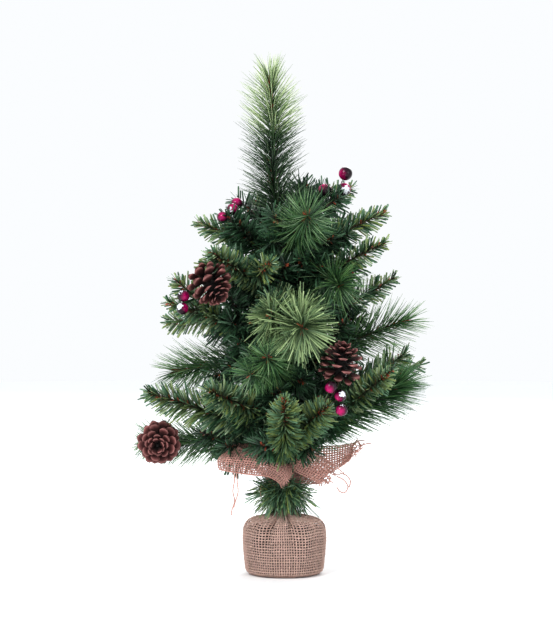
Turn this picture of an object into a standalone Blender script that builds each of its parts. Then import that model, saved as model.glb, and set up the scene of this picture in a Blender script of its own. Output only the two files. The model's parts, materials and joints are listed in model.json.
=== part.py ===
# Artificial tabletop tree in a burlap-wrapped weighted base.
#
# Z is up and the trunk runs along it. The origin is the centre of the sack's flat bottom.
# The tree's front looks along -Y and its right side is +X.
# Every branch is a twisted wire with a sleeve of needles. Its wire starts in a small ball,
# which sits in a pocket of the taped trunk and is the branch's hinge.

import math

import bmesh
import bpy
from mathutils import Matrix, Vector

# ---- driving dimensions (metres, degrees) ----

TREE_HEIGHT = 0.600          # floor to the tips of the top needles
GAP = 0.0003                 # free space between pieces that sit in each other

ROD_RADIUS = 0.004
ROD_FOOT = 0.0105            # where the rod ends inside the weight
ROD_ABOVE_CROWN_BASE = 0.248
TAPE_THICKNESS = 0.0025
TAPE_BELOW_CROWN_BASE = 0.0352
TAPE_CAP = 0.0085            # solid end of the tape above the rod

WIRE_RADIUS = 0.0014
TWIG_WIRE_RADIUS = 0.0011
BALL_RADIUS = 0.0022
BALL_NECK = 0.0052           # where the ball has narrowed to the wire
BALL_OFFSET = 0.0012         # ball centre outside the tape's surface

SHORT_RADIUS = 0.0075        # dense core of a branch of short needles
LONG_RADIUS = 0.0095         # the same for long, thin needles
LEADER_RADIUS = 0.0125
SHORT_NEEDLE_REACH = 0.012   # how far needles stand past the end of the wire
LONG_NEEDLE_REACH = 0.026
BARE_WIRE = 0.020            # bare wire between the trunk and the first needles
SLEEVE_START = 0.0046
SLEEVE_PAST_WIRE = 0.006

SACK_RADIUS = 0.0495
SACK_HEIGHT = 0.0745         # floor to the neck
CLOTH = 0.0015
RUFF_HEIGHT = 0.0130         # the gathered mouth above the neck
TIE_RADIUS = 0.0012
BLOCK_FILL = 0.75            # share of the sack's height that the weight fills
BLOCK_CLEARANCE = 0.0014     # slack of the cloth round the weight

GARLAND_RADIUS = 0.0125
GARLAND_LENGTH = 0.026
GARLAND_CLEARANCE = 0.001    # between the sack's mouth and the garland

BOW_RISE = 0.0152            # from the tape's foot to the middle of the bow
BOW_BAND = 0.018             # height of the wrapped band
BOW_THICKNESS = 0.0075

CONE_RADIUS = 0.0250
CONE_LENGTH = 0.0480
CONE_SOCKET = 0.0075
BERRY_RADIUS = 0.0068
BIG_BERRY_RADIUS = 0.0080
BERRY_SOCKET = 0.0052
STEM_RADIUS = 0.0008

SLEEVE_SIDES = 8
WIRE_SIDES = 6

TAPE_RADIUS = ROD_RADIUS + GAP + TAPE_THICKNESS
HINGE_RADIUS = TAPE_RADIUS + BALL_OFFSET
GARLAND_FOOT = SACK_HEIGHT + RUFF_HEIGHT + GARLAND_CLEARANCE
TAPE_FOOT = GARLAND_FOOT + GARLAND_LENGTH + GAP
BOW_HEIGHT = TAPE_FOOT + BOW_RISE
CROWN_BASE = TAPE_FOOT + TAPE_BELOW_CROWN_BASE    # height of the lowest branches' roots
ROD_TOP = CROWN_BASE + ROD_ABOVE_CROWN_BASE
TAPE_TOP = ROD_TOP + TAPE_CAP
LEADER_FOOT = TAPE_TOP + BALL_OFFSET

# ---- branches ----
# Root height above the crown's base, heading round the trunk, rise at the root, bend along the
# branch, reach to the needle tips, kind of needles. A twig leaves at a fraction of the wire,
# turned and lifted from the branch, with its own reach and kind.

BRANCHES = {
    "right_top": (0.252, 32, 32, -6, 0.108, "short", ()),
    "right_upper": (0.212, 0, 31, -6, 0.134, "short", ()),
    "right_fork": (0.176, -30, 27, -4, 0.146, "short", ((0.35, -45, -35, 0.100, "long"),)),
    "right_mid": (0.130, 24, 22, 6, 0.161, "short", ()),
    "right_long": (0.090, -6, 25, -6, 0.170, "long", ()),
    "right_low": (0.050, 28, 10, 4, 0.192, "short", ((0.55, -34, 22, 0.072, "short"),)),
    "right_bottom": (0.006, -14, 26, 2, 0.172, "long", ((0.40, -38, 4, 0.125, "short"),)),
    "front_top": (0.228, -76, 19, 0, 0.135, "long", ()),
    "front_flocked": (0.146, -82, 4, -14, 0.160, "long", ()),
    "front_left": (0.082, -98, 9, 4, 0.160, "long", ((0.45, -21, -16, 0.085, "long"),)),
    "front_bottom": (0.000, -90, -2, 56, 0.155, "short", ((0.30, 38, 17, 0.105, "short"),)),
    "left_top": (0.216, 172, 28, -8, 0.112, "short", ()),
    "left_fork": (0.172, 228, 24, 0, 0.135, "short", ((0.35, 55, -7, 0.085, "short"),)),
    "left_mid": (0.120, 200, 21, -4, 0.151, "short",
                 ((0.50, 2, 20, 0.086, "short"), (0.50, -32, -20, 0.078, "short"))),
    "left_long": (0.112, 168, -18, 10, 0.152, "long", ()),
    "left_low": (0.010, 199, 21, -4, 0.174, "short", ()),
    "left_front": (0.028, 232, 16, 4, 0.145, "short", ()),
    "left_bottom": (0.000, 166, 2, -4, 0.172, "long", ()),
    "back_top": (0.240, 112, 30, -6, 0.108, "short", ()),
    "back_left": (0.150, 134, 22, -4, 0.150, "short", ((0.45, -30, -6, 0.072, "short"),)),
    "back_right": (0.162, 64, 24, -4, 0.142, "short", ((0.45, 30, -6, 0.075, "long"),)),
    "back_low": (0.062, 98, 16, -4, 0.176, "long",
                 ((0.45, 36, -4, 0.085, "short"), (0.45, -34, -2, 0.085, "short"))),
}

# The leader bows to the left out of the trunk's end and then climbs nearly straight.
LEADER_COURSE = ((0, 0, 0), (-0.006, 0, 0.011), (-0.012, 0, 0.026), (-0.0145, 0, 0.062),
                 (-0.0125, 0, 0.112), (-0.0165, 0, 0.166))

# Branch, twig number (0 is the branch itself), where its wire leaves, centre, tip direction.
# Heights of cones and berries are measured from the crown's base, as the roots' are.
CONES = {
    "cone_left_upper": ("left_fork", 0, 0.84, (-0.078, -0.100, 0.181), (0.50, -0.50, -0.65)),
    "cone_right": ("front_bottom", 1, 0.60, (0.063, -0.112, 0.104), (0.10, -0.25, 0.95)),
    "cone_left_lower": ("left_bottom", 0, 0.86, (-0.144, -0.024, 0.003), (-0.05, -0.95, -0.10)),
}

# Branch, twig number, where its wire leaves, berry radius, berry centres from the held one on.
BERRIES = {
    "berries_right_top": ("right_top", 0, 0.72, BIG_BERRY_RADIUS,
                          ((0.0696, 0.016, 0.2960), (0.0713, 0.016, 0.3145), (0.0470, 0.009, 0.2945))),
    "berries_left_top": ("left_top", 0, 0.66, BERRY_RADIUS,
                         ((-0.0706, -0.014, 0.2630), (-0.0595, -0.014, 0.2724), (-0.0550, -0.002, 0.2792))),
    "berries_left_mid": ("left_mid", 0, 0.80, BERRY_RADIUS,
                         ((-0.1151, -0.0640, 0.1590), (-0.1139, -0.0620, 0.1732))),
    "berries_right_lower": ("front_bottom", 1, 0.74, BERRY_RADIUS,
                            ((0.0612, -0.1290, 0.0650), (0.0505, -0.1350, 0.0745),
                             (0.0625, -0.1290, 0.0490))),
}

COLOURS = {
    "cement": ((0.52, 0.50, 0.47), 0.9, 0.0),
    "burlap": ((0.42, 0.24, 0.15), 0.9, 0.0),
    "steel": ((0.30, 0.24, 0.18), 0.5, 0.8),
    "tape": ((0.05, 0.10, 0.05), 0.8, 0.0),
    "pine": ((0.05, 0.14, 0.06), 0.6, 0.0),
    "spruce": ((0.08, 0.18, 0.08), 0.6, 0.0),
    "frosted": ((0.40, 0.50, 0.28), 0.6, 0.0),
    "cone": ((0.16, 0.07, 0.05), 0.7, 0.0),
    "berry": ((0.40, 0.01, 0.10), 0.2, 0.0),
}


# ---- tools ----

def clear_scene():
    for thing in list(bpy.data.objects):
        bpy.data.objects.remove(thing, do_unlink=True)


def material(name):
    if name in bpy.data.materials:
        return bpy.data.materials[name]
    colour, roughness, metallic = COLOURS[name]
    made = bpy.data.materials.new(name)
    made.use_nodes = True
    shader = made.node_tree.nodes["Principled BSDF"]
    shader.inputs["Base Color"].default_value = (*colour, 1.0)
    shader.inputs["Roughness"].default_value = roughness
    shader.inputs["Metallic"].default_value = metallic
    return made


def make_object(name, mesh_data, material_name, origin=(0, 0, 0)):
    """Turns a bmesh in world space into an object whose origin is at the given point."""
    bmesh.ops.recalc_face_normals(mesh_data, faces=mesh_data.faces)
    bmesh.ops.translate(mesh_data, verts=mesh_data.verts, vec=-Vector(origin))
    mesh = bpy.data.meshes.new(name)
    mesh_data.to_mesh(mesh)
    mesh_data.free()
    mesh.shade_smooth()
    mesh.set_sharp_from_angle(angle=math.radians(40))
    made = bpy.data.objects.new(name, mesh)
    made.location = origin
    if material_name:
        made.data.materials.append(material(material_name))
    bpy.context.collection.objects.link(made)
    return made


def bridge(mesh_data, rings):
    """Skins closed rings of points into one solid with flat ends."""
    loops = [[mesh_data.verts.new(point) for point in ring] for ring in rings]
    count = len(loops[0])
    for lower, upper in zip(loops, loops[1:]):
        for i in range(count):
            j = (i + 1) % count
            mesh_data.faces.new((lower[i], lower[j], upper[j], upper[i]))
    mesh_data.faces.new(list(reversed(loops[0])))
    mesh_data.faces.new(loops[-1])


def sweep(points, radii, sides, flatten=1.0):
    """A round or flattened bar along a course of points, as a bmesh."""
    mesh_data = bmesh.new()
    rings = []
    across = None
    for i, point in enumerate(points):
        ahead = points[min(i + 1, len(points) - 1)]
        behind = points[max(i - 1, 0)]
        along = (ahead - behind).normalized()
        if across is None:
            across = along.cross(Vector((0, 0, 1)))
            if across.length < 0.1:
                across = Vector((0, 1, 0))
        across = (across - along * across.dot(along)).normalized()
        upward = across.cross(along)
        ring = []
        for k in range(sides):
            turn = math.tau * (k + 0.5) / sides
            ring.append(point + across * (radii[i] * flatten * math.cos(turn))
                        + upward * (radii[i] * math.sin(turn)))
        rings.append(ring)
    bridge(mesh_data, rings)
    return mesh_data


def turned(profile, sides, centre=(0, 0, 0), axis=(0, 0, 1), start_turn=0.0):
    """A closed turned solid. The profile starts and ends on its axis, or is a closed ring."""
    mesh_data = bmesh.new()
    frame = Vector((0, 0, 1)).rotation_difference(Vector(axis).normalized()).to_matrix()
    loops = []
    for radius, height in profile:
        if radius < 1e-6:
            loops.append([mesh_data.verts.new(frame @ Vector((0, 0, height)) + Vector(centre))])
            continue
        ring = []
        for k in range(sides):
            turn = math.tau * k / sides + start_turn
            place = Vector((radius * math.cos(turn), radius * math.sin(turn), height))
            ring.append(mesh_data.verts.new(frame @ place + Vector(centre)))
        loops.append(ring)
    pairs = list(zip(loops, loops[1:]))
    if len(loops[0]) > 1:
        pairs.append((loops[-1], loops[0]))
    for lower, upper in pairs:
        for k in range(sides):
            j = (k + 1) % sides
            if len(lower) == 1:
                mesh_data.faces.new((lower[0], upper[j], upper[k]))
            elif len(upper) == 1:
                mesh_data.faces.new((lower[k], lower[j], upper[0]))
            else:
                mesh_data.faces.new((lower[k], lower[j], upper[j], upper[k]))
    return mesh_data


def combine(base, others, operation):
    """Joins other bmeshes to an object, or cuts them from it, one Boolean at a time."""
    for number, other in enumerate(others):
        tool = make_object(f"{base.name}_tool_{number}", other, None)
        tool.hide_render = True
        tool.display_type = "WIRE"
        step = base.modifiers.new(f"{operation.lower()} {number}", "BOOLEAN")
        step.operation = operation
        step.solver = "EXACT"
        step.object = tool
    bpy.context.view_layer.update()
    result = bpy.data.meshes.new_from_object(base.evaluated_get(bpy.context.evaluated_depsgraph_get()))
    tools = [step.object for step in base.modifiers]
    base.modifiers.clear()
    base.data = result
    for tool in tools:
        bpy.data.objects.remove(tool, do_unlink=True)


def around(radius, sides, gap=GAP):
    """Radius of a many-sided cutter whose flats clear a bar of this radius by the gap."""
    return (radius + gap) / math.cos(math.pi / sides)


def climb(start, heading, rise, bend, length, steps):
    """A course that leaves at a rise and bends steadily in its own upright plane."""
    turn = math.radians(heading)
    outward = Vector((math.cos(turn), math.sin(turn), 0))
    points = [Vector(start)]
    for i in range(steps):
        slope = math.radians(rise + bend * (i + 0.5) / steps)
        stride = outward * math.cos(slope) + Vector((0, 0, math.sin(slope)))
        points.append(points[-1] + stride * (length / steps))
    return points


def place_on(course, fraction):
    """The point at a fraction of a course of equal steps."""
    spot = fraction * (len(course) - 1)
    low = min(int(spot), len(course) - 2)
    return course[low].lerp(course[low + 1], spot - low)


def part_of(course, start, end, steps):
    """The stretch of a course between two fractions, which may run past its end."""
    length = sum((b - a).length for a, b in zip(course, course[1:]))
    points = []
    for i in range(steps + 1):
        fraction = start + (end - start) * i / steps
        if fraction <= 1:
            points.append(place_on(course, fraction))
        else:
            ahead = (course[-1] - course[-2]).normalized()
            points.append(course[-1] + ahead * ((fraction - 1) * length))
    return points


def hook(start, control, end, steps):
    """A curve from start to end that arrives there from the control point."""
    points = []
    for i in range(steps + 1):
        t = i / steps
        points.append(start * (1 - t) ** 2 + control * (2 * t * (1 - t)) + end * t * t)
    return points


# ---- base ----

def sack_profile():
    """Outer side of the sack: radius as a share of SACK_RADIUS, height as one of SACK_HEIGHT."""
    shares = ((0.88, 0.0), (0.95, 0.06), (0.99, 0.22), (1.0, 0.45), (0.97, 0.70), (0.90, 0.83), (0.70, 0.92),
              (0.42, 0.975))
    return [(SACK_RADIUS * r, SACK_HEIGHT * z) for r, z in shares]


def build_base():
    sides = 18
    outer = sack_profile()
    neck = ROD_RADIUS + GAP * 2 + CLOTH
    top = SACK_HEIGHT
    outer += [(neck + 0.006, top), (neck, top + 0.0025), (neck, top + 0.0065)]
    ruff = [(neck + 0.0040, top + 0.0100), (neck + 0.0065, top + RUFF_HEIGHT - 0.0012)]
    inner = [(radius - CLOTH, height) for radius, height in outer[1:-2]]
    inner_neck = [(neck - CLOTH, top + 0.0015), (neck - CLOTH, top + 0.0075)]
    inner_ruff = [(neck + 0.0030, top + 0.0113), (neck + 0.0060, top + RUFF_HEIGHT)]
    floor = [(outer[0][0] - CLOTH, CLOTH), (0, CLOTH)]
    profile = [(0, 0)] + outer + ruff + inner_ruff[::-1] + inner_neck[::-1] + inner[::-1] + floor
    make_object("burlap_sack", turned(profile, sides), "burlap")

    tie_turn = neck + GAP + TIE_RADIUS
    tie_height = top + 0.0045
    tie = [(tie_turn + TIE_RADIUS * math.cos(a), tie_height + TIE_RADIUS * math.sin(a))
           for a in (math.tau * k / 6 for k in range(6))]
    make_object("sack_tie", turned(tie, 14), "burlap")

    block = [(0, CLOTH + GAP)]
    for radius, height in sack_profile()[:5]:
        block.append((radius - CLOTH - BLOCK_CLEARANCE, CLOTH + GAP + height * 0.98))
    block_top = SACK_HEIGHT * BLOCK_FILL
    block += [(SACK_RADIUS * 0.78, block_top), (around(ROD_RADIUS, 12), block_top),
              (around(ROD_RADIUS, 12), ROD_FOOT - GAP), (0, ROD_FOOT - GAP)]
    make_object("weight_block", turned(block, 14), "cement")


def build_trunk():
    rod = [(0, ROD_FOOT), (ROD_RADIUS, ROD_FOOT), (ROD_RADIUS, ROD_TOP), (0, ROD_TOP)]
    make_object("trunk_rod", turned(rod, 12), "steel")

    bore = around(ROD_RADIUS, 12)
    tape = [(0, TAPE_TOP), (TAPE_RADIUS * 0.8, TAPE_TOP), (TAPE_RADIUS, TAPE_TOP - 0.0015),
            (TAPE_RADIUS, TAPE_FOOT), (bore, TAPE_FOOT), (bore, ROD_TOP + GAP), (0, ROD_TOP + GAP)]
    trunk = make_object("trunk_tape", turned(tape, 12, start_turn=math.radians(7)), "tape")
    pocket = around(BALL_RADIUS, 8)
    for name in BRANCHES:
        combine(trunk, [ball(root_of(name), pocket)], "DIFFERENCE")
    combine(trunk, [ball(Vector((0, 0, LEADER_FOOT)), pocket)], "DIFFERENCE")

    foot, top = GARLAND_FOOT, TAPE_FOOT - GAP
    bore = around(ROD_RADIUS, 10)
    garland = [(bore, foot), (GARLAND_RADIUS * 0.7, foot), (GARLAND_RADIUS, foot + 0.006),
               (GARLAND_RADIUS, top - 0.005), (GARLAND_RADIUS * 0.8, top), (bore, top)]
    make_object("trunk_garland", turned(garland, 10), "pine")


def ball(centre, radius, sides=8, rings=4):
    profile = [(radius * math.sin(math.pi * i / rings), -radius * math.cos(math.pi * i / rings))
               for i in range(rings + 1)]
    return turned(profile, sides, centre)


def build_bow():
    """One strip of burlap, wrapped round the trunk and tied, as a plain closed solid."""
    inner = TAPE_RADIUS + GAP * 2
    outer = inner + BOW_THICKNESS
    low, high = BOW_HEIGHT - BOW_BAND / 2, BOW_HEIGHT + BOW_BAND / 2
    band = [(inner, low), (outer * 0.9, low), (outer, low + 0.003), (outer, high - 0.003),
            (outer * 0.9, high), (inner, high)]
    bow = make_object("burlap_bow", turned(band, 16), "burlap")
    middle = inner + BOW_THICKNESS / 2
    loop = [(-middle, -0.003, 0.0), (-0.030, -0.012, 0.001), (-0.055, -0.022, 0.002), (-0.074, -0.029, 0.002)]
    front_tail = [(middle, -0.004, 0.0), (0.024, -0.018, 0.0), (0.044, -0.029, -0.002),
                  (0.060, -0.035, -0.004)]
    back_tail = [(middle, 0.002, 0.001), (0.034, 0.004, 0.004), (0.062, 0.006, 0.010), (0.090, 0.006, 0.017)]
    courses = ((loop, (0.006, 0.010, 0.0125, 0.011), 0.5),
               (front_tail, (0.006, 0.008, 0.009, 0.008), 0.4),
               (back_tail, (0.006, 0.007, 0.007, 0.003), 0.4))
    arms = []
    for course, radii, flatten in courses:
        points = [Vector((x, y, BOW_HEIGHT + z)) for x, y, z in course]
        arms.append(sweep(points, radii, 8, flatten))
    combine(bow, arms, "UNION")


# ---- branches ----

def root_of(name):
    height, heading = BRANCHES[name][:2]
    turn = math.radians(heading)
    return Vector((HINGE_RADIUS * math.cos(turn), HINGE_RADIUS * math.sin(turn), CROWN_BASE + height))


def above_crown_base(place):
    """A point whose height is given from the crown's base, in the part's frame."""
    return Vector(place) + Vector((0, 0, CROWN_BASE))


def wire_courses(name):
    """The centre lines of a branch's wire and of its twigs' wires, each with its kind."""
    height, heading, rise, bend, reach, kind, twigs = BRANCHES[name]
    courses = [(climb(root_of(name), heading, rise, bend, reach - past_wire(kind), 8), kind)]
    for at, turned_by, lifted_by, twig_reach, twig_kind in twigs:
        start = place_on(courses[0][0], at)
        slope = rise + bend * at + lifted_by
        course = climb(start, heading + turned_by, slope, 0, twig_reach - past_wire(twig_kind), 3)
        courses.append((course, twig_kind))
    return courses


def past_wire(kind):
    return SHORT_NEEDLE_REACH if kind == "short" else LONG_NEEDLE_REACH


def course_length(course):
    return sum((b - a).length for a, b in zip(course, course[1:]))


def lengthened(points, extra):
    """The same course with its last point carried further on."""
    ahead = (points[-1] - points[-2]).normalized()
    return list(points[:-1]) + [points[-1] + ahead * extra]


def hinged_wire(course):
    """A wire that starts in the ball of its hinge and then narrows."""
    length = course_length(course)
    points = part_of(course, -0.8 * BALL_RADIUS / length, BALL_NECK / length, 3)
    radii = [BALL_RADIUS * 0.6, BALL_RADIUS, BALL_RADIUS * 0.85, WIRE_RADIUS]
    points += needled_stretch(course)
    radii += [WIRE_RADIUS] * (len(points) - len(radii))
    return sweep(points, radii, WIRE_SIDES)


def needled_stretch(course):
    """The wire from just before its needles to its end."""
    return part_of(course, (BARE_WIRE - 0.010) / course_length(course), 1.0, 6)


def main_bore(course):
    points = lengthened(needled_stretch(course), 2 * GAP)
    return sweep(points, [around(WIRE_RADIUS, WIRE_SIDES)] * len(points), WIRE_SIDES)


def twig_wire(course):
    return sweep(course, [TWIG_WIRE_RADIUS] * len(course), WIRE_SIDES)


def twig_bore(course):
    points = lengthened(course, 2 * GAP)
    return sweep(points, [around(TWIG_WIRE_RADIUS, WIRE_SIDES)] * len(points), WIRE_SIDES)


def sleeve(course, kind, start):
    """The dense core of the needles: slim at the root, full along the middle, tapered to its tip."""
    full = {"short": SHORT_RADIUS, "long": LONG_RADIUS, "leader": LEADER_RADIUS}[kind]
    length = course_length(course)
    past = SLEEVE_PAST_WIRE if kind == "short" else SLEEVE_PAST_WIRE * 2
    stations = ((0.0, 0.0), (0.15, 0.55), (0.35, 1.0), (0.72, 1.0), (0.92, 0.72), (1.0, 0.35))
    points, radii = [], []
    for along, fullness in stations:
        fraction = (start + (length + past - start) * along) / length
        points.append(part_of(course, fraction, fraction, 1)[0])
        radii.append(SLEEVE_START + (full - SLEEVE_START) * fullness)
    radii[-1] = SLEEVE_START * 0.7
    return sweep(points, radii, SLEEVE_SIDES)


def held_wires(name, courses):
    """Stub wires that leave a branch to hold its cones and berries."""
    stubs = []
    for owner, twig, at, centre, axis in CONES.values():
        if owner == name:
            start = place_on(courses[twig][0], at)
            point = Vector(axis).normalized()
            base = above_crown_base(centre) - point * (CONE_LENGTH / 2)
            stub = hook(start, base - point * 0.014, base - point * 0.001, 4)
            stubs.append(stub + [base + point * (CONE_SOCKET - 0.001)])
    for owner, twig, at, radius, centres in BERRIES.values():
        if owner == name:
            start = place_on(courses[twig][0], at)
            centre = above_crown_base(centres[0])
            inward = (centre - start).normalized()
            skin = centre - inward * radius
            stubs.append([start, skin, skin + inward * (BERRY_SOCKET - 0.001)])
    return stubs


def hinge(name, place):
    """An empty on the joint, which carries the pieces that turn with it."""
    made = bpy.data.objects.new(f"{name}_hinge", None)
    made.empty_display_size = 0.01
    made.location = place
    bpy.context.collection.objects.link(made)
    return made


def ride_on(carrier, made):
    made.parent = carrier
    made.location = Vector(made.location) - carrier.location


def build_branch(name):
    courses = wire_courses(name)
    main, kind = courses[0]
    stubs = held_wires(name, courses)
    thin = [course for course, _ in courses[1:]] + stubs
    root = root_of(name)
    carrier = hinge(name, root)

    wire = make_object(f"{name}_wire", hinged_wire(main), "steel")
    if thin:
        combine(wire, [twig_wire(course) for course in thin], "UNION")

    colour = "frosted" if name == "front_flocked" else ("spruce" if kind == "short" else "pine")
    needles = make_object(f"{name}_needles", sleeve(main, kind, BARE_WIRE), colour)
    twigs = [sleeve(course, twig_kind, 0.004) for course, twig_kind in courses[1:]]
    if twigs:
        combine(needles, twigs, "UNION")
    bores = [main_bore(main)] + [twig_bore(course) for course in thin]
    combine(needles, bores, "DIFFERENCE")
    for made in (wire, needles):
        move_origin(made, root)
        ride_on(carrier, made)
    return carrier, courses


def move_origin(made, place):
    """Puts an object's origin at a point and leaves its shape where it is."""
    made.data.transform(Matrix.Translation(made.location - Vector(place)))
    made.location = place


def build_leader():
    foot = Vector((0, 0, LEADER_FOOT))
    rise = TREE_HEIGHT - LONG_NEEDLE_REACH - LEADER_FOOT
    scale = rise / LEADER_COURSE[-1][2]
    knots = [foot + Vector((x, y, z * scale)) for x, y, z in LEADER_COURSE]
    course = even_course(knots, 12)
    carrier = hinge("leader", foot)
    wire = make_object("leader_wire", hinged_wire(course), "steel")
    needles = make_object("leader_needles", sleeve(course, "leader", BARE_WIRE * 0.6), "frosted")
    combine(needles, [main_bore(course)], "DIFFERENCE")
    for made in (wire, needles):
        move_origin(made, foot)
        ride_on(carrier, made)


def even_course(knots, steps):
    """Equal steps along straight runs between knots, rounded by averaging."""
    total = course_length(knots)
    points = []
    for i in range(steps + 1):
        goal = total * i / steps
        for a, b in zip(knots, knots[1:]):
            run = (b - a).length
            if goal <= run or b is knots[-1]:
                points.append(a.lerp(b, min(goal / run, 1.0)))
                break
            goal -= run
    for _ in range(2):
        middle = [(a + b * 2 + c) / 4 for a, b, c in zip(points, points[1:], points[2:])]
        points = [points[0]] + middle + [points[-1]]
    return points


# ---- cones and berries ----

def build_cone(name, carrier):
    _, _, _, place, axis = CONES[name]
    centre = above_crown_base(place)
    half = CONE_LENGTH / 2
    shares = ((0.30, -1.0), (0.72, -0.88), (1.0, -0.45), (0.94, 0.05), (0.66, 0.55), (0.34, 0.9))
    profile = [(CONE_RADIUS * r, half * z) for r, z in shares] + [(0, half)]
    socket = around(TWIG_WIRE_RADIUS, 10)
    profile = [(0, -half + CONE_SOCKET), (socket, -half + CONE_SOCKET), (socket, -half)] + profile
    cone = make_object(name, turned(profile, 10, centre, axis), "cone", centre)
    ride_on(carrier, cone)


def build_berries(name, carrier, courses):
    _, twig, at, radius, centres = BERRIES[name]
    centres = [above_crown_base(c) for c in centres]
    start = place_on(courses[twig][0], at)
    inward = (centres[0] - start).normalized()
    first = ball(centres[0], radius, 8, 5)
    pick = make_object(name, first, "berry")
    others = []
    for centre in centres[1:]:
        others.append(ball(centre, radius, 8, 5))
        others.append(sweep([centres[0], centres[0].lerp(centre, 0.5), centre], [STEM_RADIUS] * 3, 5))
    combine(pick, others, "UNION")
    mouth = centres[0] - inward * (radius + 0.001)
    floor = centres[0] - inward * (radius - BERRY_SOCKET)
    combine(pick, [sweep([mouth, floor], [around(TWIG_WIRE_RADIUS, WIRE_SIDES)] * 2, WIRE_SIDES)],
            "DIFFERENCE")
    move_origin(pick, centres[0])
    ride_on(carrier, pick)


clear_scene()
build_base()
build_trunk()
build_bow()
build_leader()
for branch in BRANCHES:
    branch_hinge, branch_courses = build_branch(branch)
    for cone_name, cone_row in CONES.items():
        if cone_row[0] == branch:
            build_cone(cone_name, branch_hinge)
    for berry_name, berry_row in BERRIES.items():
        if berry_row[0] == branch:
            build_berries(berry_name, branch_hinge, branch_courses)
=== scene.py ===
import json
import math
import random

import bmesh
import bpy
import numpy as np
from mathutils import Matrix, Vector, noise
from mathutils.kdtree import KDTree

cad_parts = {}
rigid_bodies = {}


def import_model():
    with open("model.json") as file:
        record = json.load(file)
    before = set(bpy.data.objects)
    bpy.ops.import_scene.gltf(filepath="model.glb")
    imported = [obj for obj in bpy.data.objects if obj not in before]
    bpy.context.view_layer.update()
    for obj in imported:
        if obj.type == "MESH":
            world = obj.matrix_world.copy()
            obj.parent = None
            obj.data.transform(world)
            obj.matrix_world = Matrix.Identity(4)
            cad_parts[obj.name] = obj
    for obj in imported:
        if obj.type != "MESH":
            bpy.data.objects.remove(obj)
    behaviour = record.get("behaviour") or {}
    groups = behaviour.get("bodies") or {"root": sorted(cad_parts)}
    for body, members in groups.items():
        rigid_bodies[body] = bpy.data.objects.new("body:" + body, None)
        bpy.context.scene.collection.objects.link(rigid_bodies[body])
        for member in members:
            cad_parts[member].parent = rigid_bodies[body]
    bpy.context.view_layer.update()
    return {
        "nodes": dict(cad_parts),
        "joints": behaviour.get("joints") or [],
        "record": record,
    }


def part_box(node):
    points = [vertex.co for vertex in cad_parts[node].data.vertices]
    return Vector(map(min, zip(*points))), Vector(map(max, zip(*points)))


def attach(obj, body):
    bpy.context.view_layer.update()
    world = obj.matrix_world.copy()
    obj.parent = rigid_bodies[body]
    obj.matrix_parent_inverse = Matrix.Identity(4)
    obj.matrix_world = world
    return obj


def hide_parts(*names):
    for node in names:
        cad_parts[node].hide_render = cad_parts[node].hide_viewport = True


for leftover in list(bpy.data.objects):
    bpy.data.objects.remove(leftover, do_unlink=True)
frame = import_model()
record = frame["record"]
hinges = {joint["child"]: joint for joint in frame["joints"]}
slotOf = {part["node"]: part["material_slot"] for part in record["subparts"]}
print("frame loaded:", len(frame["nodes"]), "nodes")


# camera, floor and light

def meshObject(work, name):
    # puts a finished bmesh into the scene as an object at the origin
    mesh = bpy.data.meshes.new(name)
    work.to_mesh(mesh)
    work.free()
    made = bpy.data.objects.new(name, mesh)
    bpy.context.collection.objects.link(made)
    return made


view = {
    "lens": 118.0,
    "distance": 2.4,
    "sideways": -0.009,
    "eyeHeight": 0.36,
    "aimHeight": 0.299,
}
light = {
    "worldStrength": 1.0,
    "key": ((-1.5, -1.9, 2.0), 1.2, 46.0),       # place, size of the soft box, power
    "fill": ((1.9, -1.5, 1.1), 1.6, 12.0),
    "back": ((0.5, 2.0, 1.7), 1.6, 30.0),
    "aim": (0, 0, 0.3),
    "sky": (0.97, 0.985, 1.0, 1),
    "floorRadius": 4.0,
    "floorDrop": 0.0002,
    "floorColour": (0.965, 0.975, 0.985, 1),
    "floorRoughness": 0.9,
}


def makeCamera():
    eye = Vector((view["sideways"], -view["distance"], view["eyeHeight"]))
    aim = Vector((view["sideways"], 0, view["aimHeight"]))
    camera = bpy.data.objects.new("camera", bpy.data.cameras.new("camera"))
    camera.data.lens = view["lens"]
    camera.location = eye
    camera.rotation_euler = (aim - eye).to_track_quat("-Z", "Y").to_euler()
    bpy.context.collection.objects.link(camera)
    bpy.context.scene.camera = camera


def makeSoftBox(name, place, size, power):
    lamp = bpy.data.lights.new(name, "AREA")
    lamp.shape = "DISK"
    lamp.size = size
    lamp.energy = power
    box = bpy.data.objects.new(name, lamp)
    box.location = place
    box.rotation_euler = (Vector(light["aim"]) - Vector(place)).to_track_quat("-Z", "Y").to_euler()
    bpy.context.collection.objects.link(box)


def makeStudio():
    world = bpy.data.worlds.new("studio")
    bpy.context.scene.world = world
    world.use_nodes = True
    sky = world.node_tree.nodes["Background"]
    sky.inputs["Color"].default_value = light["sky"]
    sky.inputs["Strength"].default_value = light["worldStrength"]
    for name in ("key", "fill", "back"):
        makeSoftBox(name, *light[name])
    work = bmesh.new()
    bmesh.ops.create_circle(work, cap_ends=True, segments=64, radius=light["floorRadius"])
    floor = meshObject(work, "floor")
    floor.location.z = -light["floorDrop"]
    paint = bpy.data.materials.new("pale floor")
    paint.use_nodes = True
    surface = paint.node_tree.nodes["Principled BSDF"]
    surface.inputs["Base Color"].default_value = light["floorColour"]
    surface.inputs["Roughness"].default_value = light["floorRoughness"]
    floor.data.materials.append(paint)


makeCamera()
makeStudio()
print("camera and studio ready")


# node helpers

def feed(tree, socket, value):
    # a link where the value comes from another node, or else a constant
    if isinstance(value, bpy.types.NodeSocket):
        tree.links.new(value, socket)
    else:
        socket.default_value = value


def addNode(tree, kind, sockets=None, **settings):
    made = tree.nodes.new(kind)
    for key, value in settings.items():
        setattr(made, key, value)
    for key, value in (sockets or {}).items():
        feed(tree, made.inputs[key], value)
    return made


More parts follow.
